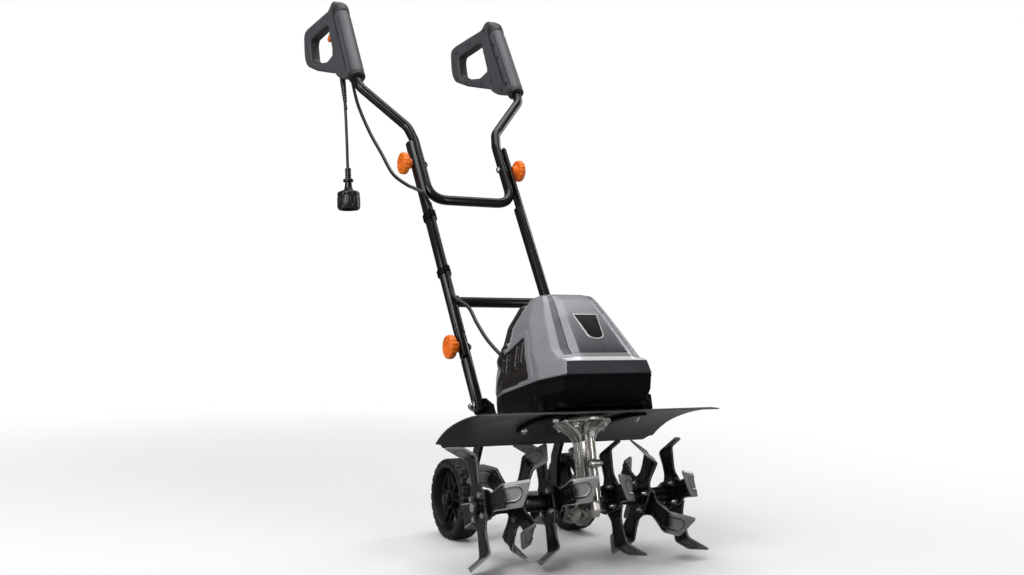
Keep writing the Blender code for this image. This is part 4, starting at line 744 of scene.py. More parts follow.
def build_grip(side, sx):
    middle_x = sx * GRIP_X
    low = Vector((middle_x, HAND_LOW.y, HAND_LOW.z))
    top = HAND_LOW.lerp(HAND_TOP, 1.06)
    top.x = middle_x
    length = (top - low).length
    # local y points back from the hand part, local z runs up it
    hand_frame = Matrix(((1, 0, 0, middle_x), (0, HAND_BACK.y, HAND_UP.y, low.y),
                         (0, HAND_BACK.z, HAND_UP.z, low.z), (0, 0, 0, 1)))

    def along(d):
        return low + HAND_UP * d

    x0, x1 = middle_x - GRIP_HALF, middle_x + GRIP_HALF
    loop = cut(prism(OUTER_LINE, x0, x1), prism(OPENING_LINE, x0 - 0.01, x1 + 0.01))
    bevelled(loop, 0.0068, 5, 50)
    hand = turned(low, top, HAND_PROFILE + [(length + d, r) for d, r in HAND_END], 64)
    spine = box((-0.0148, 0.0148), (0.0020, 0.0556), (0.0455, 0.1865), hand_frame, 0.005, 4)
    shell = remeshed(join([loop, hand, spine]), voxel=0.00125, ratio=0.55)
    if side == "left":
        # openings of the trigger and of the lock button
        cut(shell, box((-0.0063, 0.0063), (0.0440, 0.0660), (0.1335, 0.1800), hand_frame),
            box((-0.0055, 0.0055), (0.0465, 0.0700), (0.1830, 0.1950), hand_frame))
        shade(shell, 50)
    give(shell, "grip_shell_" + side, "handlebar", "grip_plastic", GRIP, "grip_" + side)

    # dark liner round the hand opening
    liner = prism(grown(OPENING_LINE, 0.0020), middle_x - LINER_HALF, middle_x + LINER_HALF)
    cut(liner, prism(grown(OPENING_LINE, -0.0009), x0 - 0.01, x1 + 0.01))
    bevelled(liner, 0.0006, 2, 50)
    give(liner, "grip_liner_" + side, "handlebar", "grip_plastic", GRIP_DARK)

    # rimmed end cap, and the collar at the tube end
    cap = turned(along(length - 0.0160), along(length + 0.0135), CAP_PROFILE, 64)
    collar = turned(along(-0.0010), along(0.0120), COLLAR_PROFILE, 64)
    give(join([cap, collar]), "grip_cap_" + side, "handlebar", "grip_plastic", GRIP_DARK)

    seams = []
    for flank in (-1, 1):
        for back, sideways, start, end, radius in SEAMS:
            line = []
            for k in range(13):
                p = along(start + (end - start) * k / 12) + HAND_BACK * back
                p.x = middle_x + flank * sideways
                line.append(p)
            seams.append(sweep(line, radius, 10))
    give(join(seams), "grip_seams_" + side, "handlebar", "grip_plastic", BLACK)
    if side == "left":
        button = box((-0.0090, 0.0090), (0.0642, 0.0815), (0.1838, 0.1955), hand_frame, 0.0030, 4)
        give(button, "lock_button_cap", "safety_button", "orange_plastic", ORANGE)

    # screws on the inner face
    screws = []
    x = sx * (GRIP_X - 0.0118)
    for y, z in LOOP_SCREWS:
        screws.append(turned((x, y, z), (x - sx * 0.0004, y, z), LOOP_SCREW_PROFILE, 24))
    for d in HAND_SCREWS:
        seat = along(d)
        seat.x = sx * (GRIP_X - 0.0172)
        screws.append(turned(seat, seat - Vector((sx * 0.0010, 0, 0)), HAND_SCREW_PROFILE, 24))
    give(join(screws), "grip_screws_" + side, "handlebar", "black_plastic", BLACK)


for side, sx in SIDES:
    build_grip(side, sx)

# ------------------------------------------------------------------ cables
CABLE_OFFSET = FRONT * (TUBE_RADIUS + 0.0042)   # from the tube axis to the cable axis
CLIP_HALF = 0.0065
CLIPS = (0.168, 0.302)                          # up the left tube from the lower knob


def by_tube(d):
    """Point of the motor cable in front of the left tube, d up from the lower knob."""
    return on_handle(-FRAME_X, LOW_KNOB, d) + CABLE_OFFSET


def cable(points, radius=0.0035):
    return sweep(smooth_path(points, 10), radius, 20)


motor_end = (-0.0868, 0.2080, 0.3725)
hang(cable([(-0.0640, 0.1460, 0.3305), (-0.0700, 0.1580, 0.3382), (-0.0780, 0.1760, 0.3500),
            motor_end, (-0.0893, 0.2480, 0.4005), (-0.0905, 0.2840, 0.4280),
            by_tube(0.105), by_tube(0.135), by_tube(0.168)]),
     "motor_cable_to_motor", by_tube(0.130),
     "motor_cable_lower")
give(cable([by_tube(0.166), by_tube(0.210), by_tube(0.260), by_tube(0.304)]),
     "motor_cable_on_tube", "middle_handle", "cable_rubber", RUBBER, "motor_cable_middle")
hang(cable([by_tube(0.302), by_tube(0.318), (-0.1230, 0.4360, 0.6460), (-0.1370, 0.4500, 0.6570),
            (-0.1480, 0.4680, 0.6650), (-0.1600, 0.5150, 0.6887), (-0.1690, 0.5600, 0.7332),
            (-0.1780, 0.6061, 0.7786), (-0.1880, 0.6532, 0.8391), (-0.1900, 0.6880, 0.8931),
            (-0.1900, 0.7000, 0.9095)]),
     "motor_cable_to_switch",
     (-0.1840, 0.6300, 0.8090), "motor_cable_upper")

for i, d in enumerate(CLIPS):
    middle = on_handle(-FRAME_X, LOW_KNOB, d)
    low, top = middle - ALONG * CLIP_HALF, middle + ALONG * CLIP_HALF
    on_tube = mirrored([(0, 0.0128), (0.0007, 0.0138), (0.0020, 0.0141), (0.0050, 0.0139)],
                       2 * CLIP_HALF)
    on_cable = mirrored([(0, 0.0052), (0.0007, 0.0062), (0.0020, 0.0064)], 2 * CLIP_HALF)
    clip = join([turned(low, top, on_tube, 40),
                 turned(low + CABLE_OFFSET, top + CABLE_OFFSET, on_cable, 28)])
    give(clip, "cable_clip_%d" % i, "middle_handle", "cable_rubber", BLACK)


def strain_relief():
    """Tapering sleeve with seven ribs."""
    top, low = Vector((-0.1900, 0.7545, 0.9160)), Vector((-0.19, 0.7240, 0.8370))
    profile = [(0.0, 0.0061), (0.0200, 0.0061)]
    for k in range(7):
        d = 0.0210 + k * 0.0070
        r = 0.0062 - k * 0.00030
        profile += [(d, r), (d + 0.0040, r - 0.0002), (d + 0.0043, r - 0.0013),
                    (d + 0.0066, r - 0.0014)]
    return turned(top, low, profile + [(distance(top, low), 0.0037)], 32)


# (distance, radius) of the plug below its four neck ribs
PLUG_PROFILE = [
    (0.0240, 0.0068), (0.0242, 0.0104), (0.0250, 0.0110), (0.0292, 0.0110), (0.0300, 0.0104),
    (0.0302, 0.0070), (0.0340, 0.0074), (0.0400, 0.0080), (0.0450, 0.0088), (0.0480, 0.0110),
    (0.0505, 0.0170), (0.0525, 0.0222), (0.0545, 0.0236), (0.0562, 0.0240), (0.0600, 0.0240),
    (0.0606, 0.0236), (0.0618, 0.0236), (0.0624, 0.0240), (0.0850, 0.0240), (0.0872, 0.0238),
    (0.0888, 0.0231), (0.0900, 0.0218), (0.0900, 0.0196), (0.0840, 0.0190), (0.0838, 0.0040)]


def plug():
    """The turned plug and the 18 flutes round its body."""
    top, low = Vector((-0.19, 0.7000, 0.7080)), Vector((-0.19, 0.6868, 0.6180))
    profile = [(0.0, 0.0050), (0.0006, 0.0060)]
    for k in range(4):
        d = 0.0030 + k * 0.0052
        profile += [(d, 0.0066), (d + 0.0028, 0.0068), (d + 0.0031, 0.0055), (d + 0.0048, 0.0055)]
    parts = [turned(top, low, profile + PLUG_PROFILE, 72)]
    axis = (low - top).normalized()
    across = Vector((1, 0, 0))
    up = axis.cross(across)
    for k in range(18):
        t = 2 * math.pi * k / 18
        seat = (across * math.cos(t) + up * math.sin(t)) * 0.0236
        parts.append(turned(top + axis * 0.0640 + seat, top + axis * 0.0860 + seat,
                            mirrored([(0, 0.0004), (0.0010, 0.0011)], 0.0220), 10))
    return parts


lead = cable([(-0.1900, 0.7480, 0.8990), (-0.1900, 0.7350, 0.8640), (-0.1900, 0.7233, 0.8200),
              (-0.1900, 0.7110, 0.7600), (-0.1900, 0.7030, 0.7150), (-0.1900, 0.6980, 0.6900)],
             0.0031)
give(join([lead, strain_relief()] + plug()), "mains_lead_and_plug", "handlebar", "cable_rubber",
     RUBBER, "mains_lead")

# ------------------------------------------------------------------ tines
# Pressed bars, bent at both ends, with a raised U running over each bend on to the tip.
BEND = math.radians(58.4)
BEND_START = 0.083 - 0.006              # from the axle
BEND_RADIUS = 0.0085
BEND_LENGTH = BEND_RADIUS * BEND
TIP_LONG, TIP_SHORT = 0.0452 - 0.0025, 0.0257 - 0.0025    # at the leading and trailing edges
TINE_THICK = 0.0035
# (distance along the bar from the axle, half width)
TINE_WIDTH = [(0.0, 0.0250), (0.0235, 0.0250), (0.0370, 0.0165), (0.0480, 0.0165),
              (0.0770, 0.0214), (0.2, 0.0214)]
# stations across the bar, 0 at the leading edge and 1 at the trailing edge
ACROSS = sorted(set([k / 34 for k in range(35)] + [0.02, 0.06, 0.10, 0.90, 0.94, 0.98]))


def bar_half_width(s):
    """The width table read at s, averaged over 3 mm to either side."""
    total = 0.0
    for k in range(-3, 4):
        x = s + 0.003 * k / 3
        for (a, wide_a), (b, wide_b) in zip(TINE_WIDTH, TINE_WIDTH[1:]):
            if x <= b:
                total += wide_a + (wide_b - wide_a) * max(0.0, (x - a)) / (b - a)
                break
    return total / 7


def bar_centre(s):
    """(distance from the axle, sideways offset, angle) at the length s along the bar."""
    if s <= BEND_START:
        return s, 0.0, 0.0
    a = min((s - BEND_START) / BEND_RADIUS, BEND)
    d = max(s - BEND_START - BEND_LENGTH, 0.0)
    return (BEND_START + BEND_RADIUS * math.sin(a) + d * math.cos(a),
            BEND_RADIUS * (1 - math.cos(a)) + d * math.sin(a), a)


def bar_ring(lengths):
    """Section through one length per station: its points, and their distances to the U."""
    top, bottom, to_loop = [], [], []
    for q, s in zip(ACROSS, lengths):
        half = bar_half_width(s)
        w = -half + 2 * half * q
        r, o, a = bar_centre(s)
        loop_end = BEND_START + BEND_LENGTH + 0.0165 - 0.0090 * q
        past = max(0.0530 - s, s - loop_end, 0.0)
        d = math.hypot(past, w + 0.0008) - 0.0118
        lift = (0.0009 * (1 - smooth_step(d, -0.0018, -0.0002))
                - 0.0007 * (1 - smooth_step(abs(d - 0.0004), 0.0003, 0.0013)))
        # the leading edge is ground thin, the other corners are eased
        inset = min(q, 1 - q) * 2 * half
        if q < 0.5 and s > 0.050:
            thick = TINE_THICK / 2 * (0.42 + 0.58 * smooth_step(inset, 0.0, 0.0045))
        else:
            thick = TINE_THICK / 2 * (0.75 + 0.25 * smooth_step(inset, 0.0, 0.0010))
        nr, no = -math.sin(a), math.cos(a)
        top.append((r + nr * (thick + lift), o + no * (thick + lift), w))
        bottom.append((r - nr * (thick - lift), o - no * (thick - lift), w))
        to_loop.append(d)
    return top + bottom[::-1], to_loop + to_loop[::-1]


def bar_sections():
    """Sections from the axle to one tip, where the cut is slanted and its corners rounded."""
    count = len(ACROSS)
    lengths = [[BEND_START * k / 14] * count for k in range(15)]
    lengths += [[BEND_START + BEND_LENGTH * k / 8] * count for k in range(1, 9)]
    for k in range(1, 29):
        row = []
        for q in ACROSS:
            tip = TIP_LONG + (TIP_SHORT - TIP_LONG) * q
            tip -= 0.0042 * math.exp(-q / 0.045) + 0.0030 * math.exp(-(1 - q) / 0.05)
            row.append(BEND_START + BEND_LENGTH + tip * (k / 28))
        lengths.append(row)
    return zip(*(bar_ring(row) for row in lengths))


def tine_bar(x, bend_side, angle):
    rows, loops = bar_sections()
    count = len(ACROSS)

    def flipped(ring):
        # the opposite end runs the ring the other way round, so the columns meet in the middle
        return ring[count - 1::-1] + ring[:count - 1:-1]

    near = [[(x + bend_side * o, r, w) for r, o, w in row] for row in rows]
    far = [flipped([(x + bend_side * o, -r, -w) for r, o, w in row]) for row in rows[:0:-1]]
    place = Matrix.Translation((0, 0, AXLE_Z)) @ Matrix.Rotation(math.pi / 2 - angle, 4, 'X')
    ob = loft(far + near, place, 40)
    paint(ob, TINE, TINE_EDGE_HIGHLIGHT, TINE_GROOVE)
    to_loop = [d for ring in [flipped(g) for g in loops[:0:-1]] + list(loops) for d in ring]
    to_edge = [min(q, 1 - q) for q in ACROSS + ACROSS[::-1]]
    for face in ob.data.polygons:
        if len(face.vertices) != 4:
            continue
        edge = sum(to_edge[v % (2 * count)] for v in face.vertices) / 4
        loop = sum(to_loop[v] for v in face.vertices) / 4
        radius = math.hypot(face.center.y, face.center.z - AXLE_Z)
        # faces near either edge of the bar take the painted highlight strip
        if 0.018 < edge < 0.060 and radius > 0.040:
            face.material_index = 1
        if abs(loop - 0.0004) < 0.0007 and radius > 0.076:
            face.material_index = 2
    return ob


FLANGE_HALF = 0.0020
# (disc, x of its flange, angle)
PHASE = math.radians(22.0)
DISCS = (("inner", 0.0620, PHASE), ("middle", 0.1265, PHASE + math.radians(45)),
         ("outer", 0.1910, PHASE))
# (distance, radius) of the hub tube from its inner end
HUB_PROFILE = [
    (0, 0.0120), (0.0010, 0.0132), (0.0020, 0.0135), (0.0500, 0.0135), (0.0505, 0.0143),
    (0.0590, 0.0143), (0.0595, 0.0135), (0.1130, 0.0135), (0.1135, 0.0143), (0.1220, 0.0143),
    (0.1225, 0.0135), (0.1570, 0.0135), (0.1590, 0.0132), (0.1600, 0.0120)]
WELD_PROFILE = [(0, 0.0172), (0.0016, 0.0162), (0.0036, 0.0146), (0.0062, 0.0136)]
BOLT_CIRCLE = 0.0240


def flange(sx, x, angle):
    """Square plate with a weld fillet on either face."""
    centre = Vector((sx * x, 0, AXLE_Z))
    place = Matrix.Translation(centre) @ Matrix.Rotation(-angle, 4, 'X')
    parts = [box((-FLANGE_HALF, FLANGE_HALF), (-0.0250, 0.0250), (-0.0250, 0.0250), place, 0.0011)]
    for face in (-1, 1):
        start = centre + Vector((face * 0.0018, 0, 0))
        parts.append(turned(start, start + Vector((face * 0.0062, 0, 0)), WELD_PROFILE))
    return parts


def flange_bolts(sx, x, angle):
    parts = []
    for k in range(4):
        a = angle + math.radians(45 + 90 * k)
        y, z = BOLT_CIRCLE * math.sin(a), AXLE_Z + BOLT_CIRCLE * math.cos(a)

        def at(d):
            return sx * (x + d), y, z

        thread = []
        for turn in range(7):
            thread += [(turn * 0.0010, 0.0029), (turn * 0.0010 + 0.0005, 0.0025)]
        parts += [rod(at(0.0058), at(0.0068), 0.0058, 24),
                  hex_nut(at(0.0068), at(0.0104), 0.0050),
                  rod(at(-0.0058), at(-0.0066), 0.0056, 24),
                  hex_nut(at(-0.0066), at(-0.0092), 0.0048),
                  turned(at(-0.0088), at(-0.0155), thread, 16)]
    return parts


for side, sx in SIDES:
    hub = [turned((sx * 0.0460, 0, AXLE_Z), (sx * 0.2060, 0, AXLE_Z), HUB_PROFILE)]
    bolts = []
    for _, x, angle in DISCS:
        hub += flange(sx, x, angle)
        bolts += flange_bolts(sx, x, angle)
    give(shade(join(hub)), "tine_hub_tube_" + side, "tines", "black_paint", PAINT,
         "tine_hub_" + side)
    give(join(bolts), "tine_bolts_" + side, "tines", "bright_steel", STEEL)
    # one bar on either face of each flange, crossed
    offset = FLANGE_HALF + 0.0003 + TINE_THICK / 2
    for disc, x, angle in DISCS:
        for letter, out, turn in (("a", 1, 0.0), ("b", -1, math.pi / 2)):
            place = "%s_%s_%s" % (disc, side, letter)
            give(tine_bar(sx * (x + out * offset), out * sx, angle + turn), "tine_bar_" + place,
                 "tines", "tine_steel", None, "tine_" + place)

# ------------------------------------------------------------------ wheels
WHEEL_Y, WHEEL_Z = 0.2409, 0.0740766
WHEEL_IN, WHEEL_OUT = 0.103, 0.145      # x of the inner and outer faces
TYRE_RADIUS = 0.0740
# closed (radius, x) sections
DISC_SECTION = [(0.0150, 0.1180), (0.0560, 0.1225), (0.0560, 0.1275), (0.0540, 0.1288),
                (0.0180, 0.1262), (0.0150, 0.1255)]
HUB_SECTION = [(0.0056, WHEEL_IN), (0.0150, WHEEL_IN), (0.0166, WHEEL_IN + 0.0015),
               (0.0172, 0.1200), (0.0172, 0.1385), (0.0166, 0.1398), (0.0150, 0.1402),
               (0.0135, 0.1398), (0.0128, 0.1388), (0.0115, 0.1386), (0.0105, 0.1392),
               (0.0056, 0.1392)]
SPOKES = 6
# (x of the outer face, distance from the wheel axis) of a spoke rib
RIB_LINE = ((0.1375, 0.0150), (0.1350, 0.0220), (0.1325, 0.0400), (0.1345, 0.0560))
CAP_SECTION = [(0, 0.0118), (0.0012, 0.0122), (0.0080, 0.0118), (0.0098, 0.0106),
               (0.0108, 0.0080), (0.0112, 0.0030)]


def tyre_section(i):
    """Tread section at step i; two steps out of eight are notched."""
    d = 0.0022 if (i % 8) in (0, 1) else 0.0
    R, a, b = TYRE_RADIUS, WHEEL_IN, WHEEL_OUT
    return [(0.0560, a + 0.010), (0.0575, a + 0.002), (0.0590, a + 0.0002),
            (0.0690 - d * 0.3, a + 0.0002 + d * 0.3), (0.0718 - d, a + 0.0012 + d * 0.5),
            (0.0734 - d, a + 0.0034), (R - d, a + 0.0062), (R - d * 0.9, a + 0.0120),
            (R, a + 0.0140), (R, b - 0.0140), (R - d * 0.9, b - 0.0120), (R - d, b - 0.0062),
            (0.0734 - d, b - 0.0034), (0.0718 - d, b - 0.0012 - d * 0.5),
            (0.0690 - d * 0.3, b - 0.0002 - d * 0.3), (0.0655, b), (0.0650, b - 0.0006),
            (0.0638, b - 0.0006), (0.0633, b), (0.0600, b), (0.0585, b - 0.0006),
            (0.0575, b - 0.0022), (0.0565, b - 0.0100), (0.0545, 0.1300), (0.0545, 0.1220)]


def wheel_yz(radius, a):
    return WHEEL_Y + radius * math.cos(a), WHEEL_Z + radius * math.sin(a)


def revolved(section_at, steps, sx):
    """Ring round the wheel axis; section_at(step) gives its closed (radius, x) section."""
    bm = bmesh.new()
    grid = [[bm.verts.new((sx * x, *wheel_yz(r, 2 * math.pi * i / steps)))
             for r, x in section_at(i)] for i in range(steps)]
    for i in range(steps):
        p, q = grid[i], grid[(i + 1) % steps]
        for j in range(len(p)):
            k = (j + 1) % len(p)
            bm.faces.new((p[j], p[k], q[k], q[j]))
    return solid(bm, 38)


def wheel_window(sx, k):
    """Cutter for the opening between two spokes."""
    middle = 2 * math.pi * (k + 0.5) / SPOKES
    outline = [wheel_yz(0.0495, middle + math.radians(t)) for t in range(-20, 21, 5)]
    outline += [wheel_yz(0.0255, middle + math.radians(t)) for t in range(13, -14, -5)]
    return prism(corner_cut(outline), *sorted((sx * 0.110, sx * 0.140)))


def spoke_rib(sx, k):
    place = Matrix.Translation((0, WHEEL_Y, WHEEL_Z)) @ Matrix.Rotation(
        2 * math.pi * k / SPOKES, 4, 'X')
    rings = [[(sx * 0.1240, r, -0.0018), (sx * x, r, -0.0013), (sx * x, r, 0.0013),
              (sx * 0.1240, r, 0.0018)] for x, r in RIB_LINE]
    return bevelled(loft(rings, place), 0.0006, 2)


for side, sx in SIDES:
    tyre = revolved(tyre_section, 192, sx)
    disc = revolved(lambda _: DISC_SECTION, 96, sx)
    cut(disc, *(wheel_window(sx, k) for k in range(SPOKES)))
    bevelled(disc, 0.0010, 2, 50)
    parts = [tyre, disc, revolved(lambda _: HUB_SECTION, 64, sx)]
    parts += [spoke_rib(sx, k) for k in range(SPOKES)]
    parts.append(turned((sx * 0.1388, WHEEL_Y, WHEEL_Z), (sx * 0.1500, WHEEL_Y, WHEEL_Z),
                        CAP_SECTION))
    give(join(parts), "wheel_moulding_" + side, side + "_wheel", "black_plastic", TYRE,
         "wheel_" + side)


def on_wheel_axle(x):
    return x, WHEEL_Y, WHEEL_Z


parts = []
for _, sx in SIDES:
    washer, nut, tip = (on_wheel_axle(sx * x) for x in (0.1412, 0.1424, 0.1474))
    parts += [rod(washer, nut, 0.0104, 32), hex_nut(nut, tip, 0.0088),
              turned(tip, on_wheel_axle(sx * 0.1492),
                     [(0, 0.0046), (0.0012, 0.0046), (0.0018, 0.0036)], 24)]
parts.append(rod(on_wheel_axle(-0.1440), on_wheel_axle(0.1440), 0.0050, 32))
give(join(parts), "wheel_axle_and_nuts", "wheel_carriage", "bright_steel", STEEL, "wheel_axle")

# ------------------------------------------------------------------ motor housing
# Rings in the head frame: (height, five corners of the right half from front to rear, each
# (half width, distance to the front)).
BASE_RINGS = [
    (0.1448, [(0.050, 0.1130), (0.080, 0.1120), (0.1030, 0.0700), (0.1030, -0.0550),
              (0.0860, -0.1000)]),
    (0.1700, [(0.050, 0.1350), (0.084, 0.1340), (0.1068, 0.0780), (0.1068, -0.0550),
              (0.0880, -0.1130)]),
    (0.1958, [(0.050, 0.1440), (0.0837, 0.1428), (0.1068, 0.0880), (0.1068, -0.0500),
              (0.0880, -0.1120)])]
COVER_RINGS = [
    (0.1961, [(0.0500, 0.1443), (0.0838, 0.1431), (0.1068, 0.0880), (0.1068, -0.0500),
              (0.0880, -0.1115)]),
    (0.2196, [(0.0490, 0.1402), (0.0791, 0.1392), (0.1050, 0.0840), (0.1050, -0.0490),
              (0.0865, -0.1085)]),
    (0.2290, [(0.0480, 0.1345), (0.0810, 0.1150), (0.1035, 0.0800), (0.1035, -0.0480),
              (0.0860, -0.1060)]),
    (0.2458, [(0.0455, 0.1236), (0.0830, 0.0980), (0.1015, 0.0690), (0.1015, -0.0460),
              (0.0840, -0.1010)]),
    (0.3086, [(0.0365, 0.0821), (0.0665, 0.0600), (0.0850, 0.0370), (0.0850, -0.0300),
              (0.0680, -0.0605)]),
    (0.3420, [(0.0315, 0.0560), (0.0555, 0.0415), (0.0670, 0.0230), (0.0670, -0.0100),
              (0.0580, -0.0270)]),
    (0.3556, [(0.0300, 0.0390), (0.0500, 0.0309), (0.0570, 0.0200), (0.0570, -0.0010),
              (0.0500, -0.0080)]),
    (0.3585, [(0.0260, 0.0300), (0.0420, 0.0250), (0.0480, 0.0170), (0.0480, 0.0010),
              (0.0420, -0.0030)])]
# Rows of the skins: (start, stop, steps)
BASE_ROWS = [(0.1448, 0.1478, 3), (0.1479, 0.1915, 22), (0.1916, 0.1940, 2), (0.1941, 0.1958, 2)]
COVER_ROWS = [(0.1961, 0.1978, 2), (0.1979, 0.2179, 10), (0.2180, 0.2187, 2),
              (0.2190, 0.2330, 14), (0.2335, 0.2345, 2), (0.2350, 0.2520, 13),
              (0.2525, 0.3450, 62), (0.3455, 0.3585, 14)]
# The ten faces round a skin, counted from the front panel (0) over the right side: bevels 1, 9;
# corner facets 2, 8; sides 3, 7; rear corners 4, 6; rear 5. Columns on each face type:
BASE_COLUMNS = [24, 16, 16, 90, 14, 34]
COVER_COLUMNS = [20, 36, 14, 96, 14, 34]
PANEL_FACE, BEVELS, FACETS, FLANKS, REAR_CORNERS, REAR = 0, (1, 9), (2, 8), (3, 7), (4, 6), 5
VENTED = FACETS + FLANKS + REAR_CORNERS
# material slots of the cover
SHELL_PART, DARK_PART, PANEL_PART, VENT_PART, LEDGE_HIGHLIGHT_PART = range(5)
# (y, height) outline of the side vent, and y of the upright ribs in it
VENT_LINE = round_outline([(-0.0573, 0.2045), (-0.0300, 0.2800), (-0.0200, 0.2805),
                           (0.0860, 0.2510), (0.0960, 0.2000)], 0.0090)
VENT_RIBS = [0.0640, 0.0300, -0.0040, -0.0260]


def ring_at(table, v):
    """The five corners at height v, with the creases between rings softened."""
    corners = [[0.0, 0.0] for _ in range(5)]
    for k in range(-2, 3):
        vv = min(max(v + 0.0008 * k / 2, table[0][0]), table[-1][0])
        for (va, pa), (vb, pb) in zip(table, table[1:]):
            if vv <= vb:
                t = (vv - va) / (vb - va)
                for corner, a, b in zip(corners, pa, pb):
                    corner[0] += (a[0] + (b[0] - a[0]) * t) / 5
                    corner[1] += (a[1] + (b[1] - a[1]) * t) / 5
                break
    return corners


def signed_distance(outline, y, v):
    """Distance to a closed outline, negative inside."""
    best, inside = 1e9, False
    for i, (ay, av) in enumerate(outline):
        by, bv = outline[(i + 1) % len(outline)]
        dy, dv = by - ay, bv - av
        t = max(0.0, min(1.0, ((y - ay) * dy + (v - av) * dv) / (dy * dy + dv * dv)))
        best = min(best, math.hypot(y - ay - dy * t, v - av - dv * t))
        if (av > v) != (bv > v) and y < dy * (v - av) / dv + ay:
            inside = not inside
    return -best if inside else best


def eased_row(row, window):
    """The row averaged along its own length over a short window, which eases its corners."""
    count = len(row)
    reach = [0.0]
    for j in range(count):
        reach.append(reach[-1] + (row[(j + 1) % count] - row[j]).length)

    def at(s):
        s %= reach[-1]
        i = bisect_right(reach, s, 0, count) - 1
        share = (s - reach[i]) / max(reach[i + 1] - reach[i], 1e-9)
        return row[i].lerp(row[(i + 1) % count], share)

    out = []
    for j in range(count):
        total = Vector((0, 0))
        for k in range(-2, 3):
            total += at(reach[j] + window * k / 2)
        out.append(total / 5)
    return out


def skin(table, bands, columns, window, push, region):
    """Dense closed skin through the rings of a table.

    push(face, t, x, y, v) is a lift along the normal and region() the material slot; t runs
    0..1 across a face.
    """
    columns = [columns[min(i, 10 - i)] for i in range(10)]
    tags = [(i, k / n) for i, n in enumerate(columns) for k in range(n)]
    heights = [a + (b - a) * k / n for a, b, n in bands for k in range(n)] + [bands[-1][1]]
    rows = []
    for v in heights:
        right = [(w, -u) for w, u in ring_at(table, v)]
        left = [(-w, y) for w, y in right]
        closed = [Vector(p) for p in left[:1] + right + left[:0:-1]]
        row = [closed[i].lerp(closed[(i + 1) % 10], t) for i, t in tags]
        rows.append([Vector((p.x, p.y, v)) for p in eased_row(row, window)])
    count, last = len(tags), len(rows) - 1
    bm = bmesh.new()
    grid = []
    for r, row in enumerate(rows):
        verts = []
        for j, p in enumerate(row):
            du = row[(j + 1) % count] - row[j - 1]
            dv = rows[min(r + 1, last)][j] - rows[max(r - 1, 0)][j]
            normal = du.cross(dv)
            normal = normal.normalized() if normal.length > 1e-12 else Vector((0, 0, 1))
            verts.append(bm.verts.new(p + normal * push(*tags[j], p.x, p.y, p.z)))
        grid.append(verts)
    for r in range(last):
        for j, (i, t) in enumerate(tags):
            k = (j + 1) % count
            face = bm.faces.new((grid[r][j], grid[r][k], grid[r + 1][k], grid[r + 1][j]))
            c = (rows[r][j] + rows[r][k] + rows[r + 1][k] + rows[r + 1][j]) / 4
            face.material_index = region(i, t + 0.5 / columns[i], c.x, c.y, c.z)
    bm.faces.new(grid[-1])
    bm.faces.new(list(reversed(grid[0])))
    return solid(bm, 30, HEAD)


def across_bevel(face, t):
    """0..1 across a front bevel from the panel outwards, or None elsewhere."""
    return {1: t, 9: 1.0 - t}.get(face)


def vent_push(y, v):
    """Plateau round the side vent, its recess, and the grooved ribs standing in it."""
    d = signed_distance(VENT_LINE, y, v)
    lift = 0.0020 * (1 - smooth_step(d, 0.0100, 0.0145)) * smooth_step(v, 0.2000, 0.2060)
    if d >= 0.0012:
        return lift
    deep = 0.0052 * (1 - smooth_step(d, -0.0024, 0.0006))
    lift -= deep * (0.25 + 0.75 * smooth_step(v, 0.2060 + 0.002, 0.2360))
    for k, rib_y in enumerate(VENT_RIBS):
        low = 0.2240 + 0.0040 * k
        off = abs(y - rib_y)
        if v > low - 0.004 and off < 0.0046 and d < -0.0035:
            rib = (0.0040 * (1 - smooth_step(off, 0.0024, 0.0034))
                   - 0.0016 * (1 - smooth_step(off, 0.0004, 0.0012)))
            lift += (rib * smooth_step(v, low - 0.004, low + 0.004)
                     * smooth_step(-d, 0.0035, 0.0060))
    return lift


def rear_edge(v):
    """y where a side of the cover meets its rear corner."""
    return -ring_at(COVER_RINGS, v)[3][1]


def cover_push(face, t, x, y, v):
    lift = 0.0
    across = across_bevel(face, t)
    if face == PANEL_FACE and 0.2340 < v < 0.3530:
        lift += 0.0008
    if across is not None:
        if 0.2320 < v < 0.3535 and 0.34 < across < 0.64:
            lift -= 0.0010
        elif across <= 0.34 and 0.2340 < v < 0.3530:
            lift += 0.0004
    if v < 0.2180 and (face == PANEL_FACE or (across is not None and across < 0.94)):
        lift -= 0.0006
    if 0.1961 <= v < 0.1978:
        lift -= 0.0008
    if face in VENTED:
        lift += vent_push(y, v)
    # the raised hood at the rear laps on to the sides
    hood_end = 1 - smooth_step(v, 0.3380, 0.3500)
    if face in REAR_CORNERS or face == REAR:
        lift += 0.0072 * smooth_step(v, 0.2460, 0.2620) * hood_end
    if face in FLANKS and v > 0.2400:
        edge = rear_edge(v)
        lift += (0.0072 * smooth_step(y, edge - 0.0120, edge - 0.0060)
                 * smooth_step(v, 0.2620, 0.2800) * hood_end)
    # level slots across the rear
    if face == REAR and 0.2430 < v < 0.3320 and abs(x) < 0.047:
        if 0.25 < ((v - 0.2440) / 0.0110) % 1.0 < 0.75:
            lift -= 0.0036
    return lift


def cover_region(face, t, x, y, v):
    across = across_bevel(face, t)
    if across is None:
        across = 0.0 if face == PANEL_FACE else 1.0
    if face in VENTED and signed_distance(VENT_LINE, y, v) < 0.0004:
        return VENT_PART
    if v < 0.2185 and across < 0.965:
        return DARK_PART
    # the ledge band takes the painted highlight
    if 0.2187 < v < 0.2262 and across < 0.94:
        return LEDGE_HIGHLIGHT_PART
    if 0.2330 < v < 0.3530 and 0.335 < across < 0.645:
        return DARK_PART
    if face == PANEL_FACE and 0.2330 < v < 0.3535:
        return PANEL_PART
    if face in FLANKS and 0.2720 < v < 0.3480 and y > rear_edge(v) - 0.0095:
        return VENT_PART
    if face in REAR_CORNERS and 0.2520 < v < 0.3460:
        return VENT_PART
    if face == REAR and 0.2400 < v < 0.3460:
        return VENT_PART
    return SHELL_PART


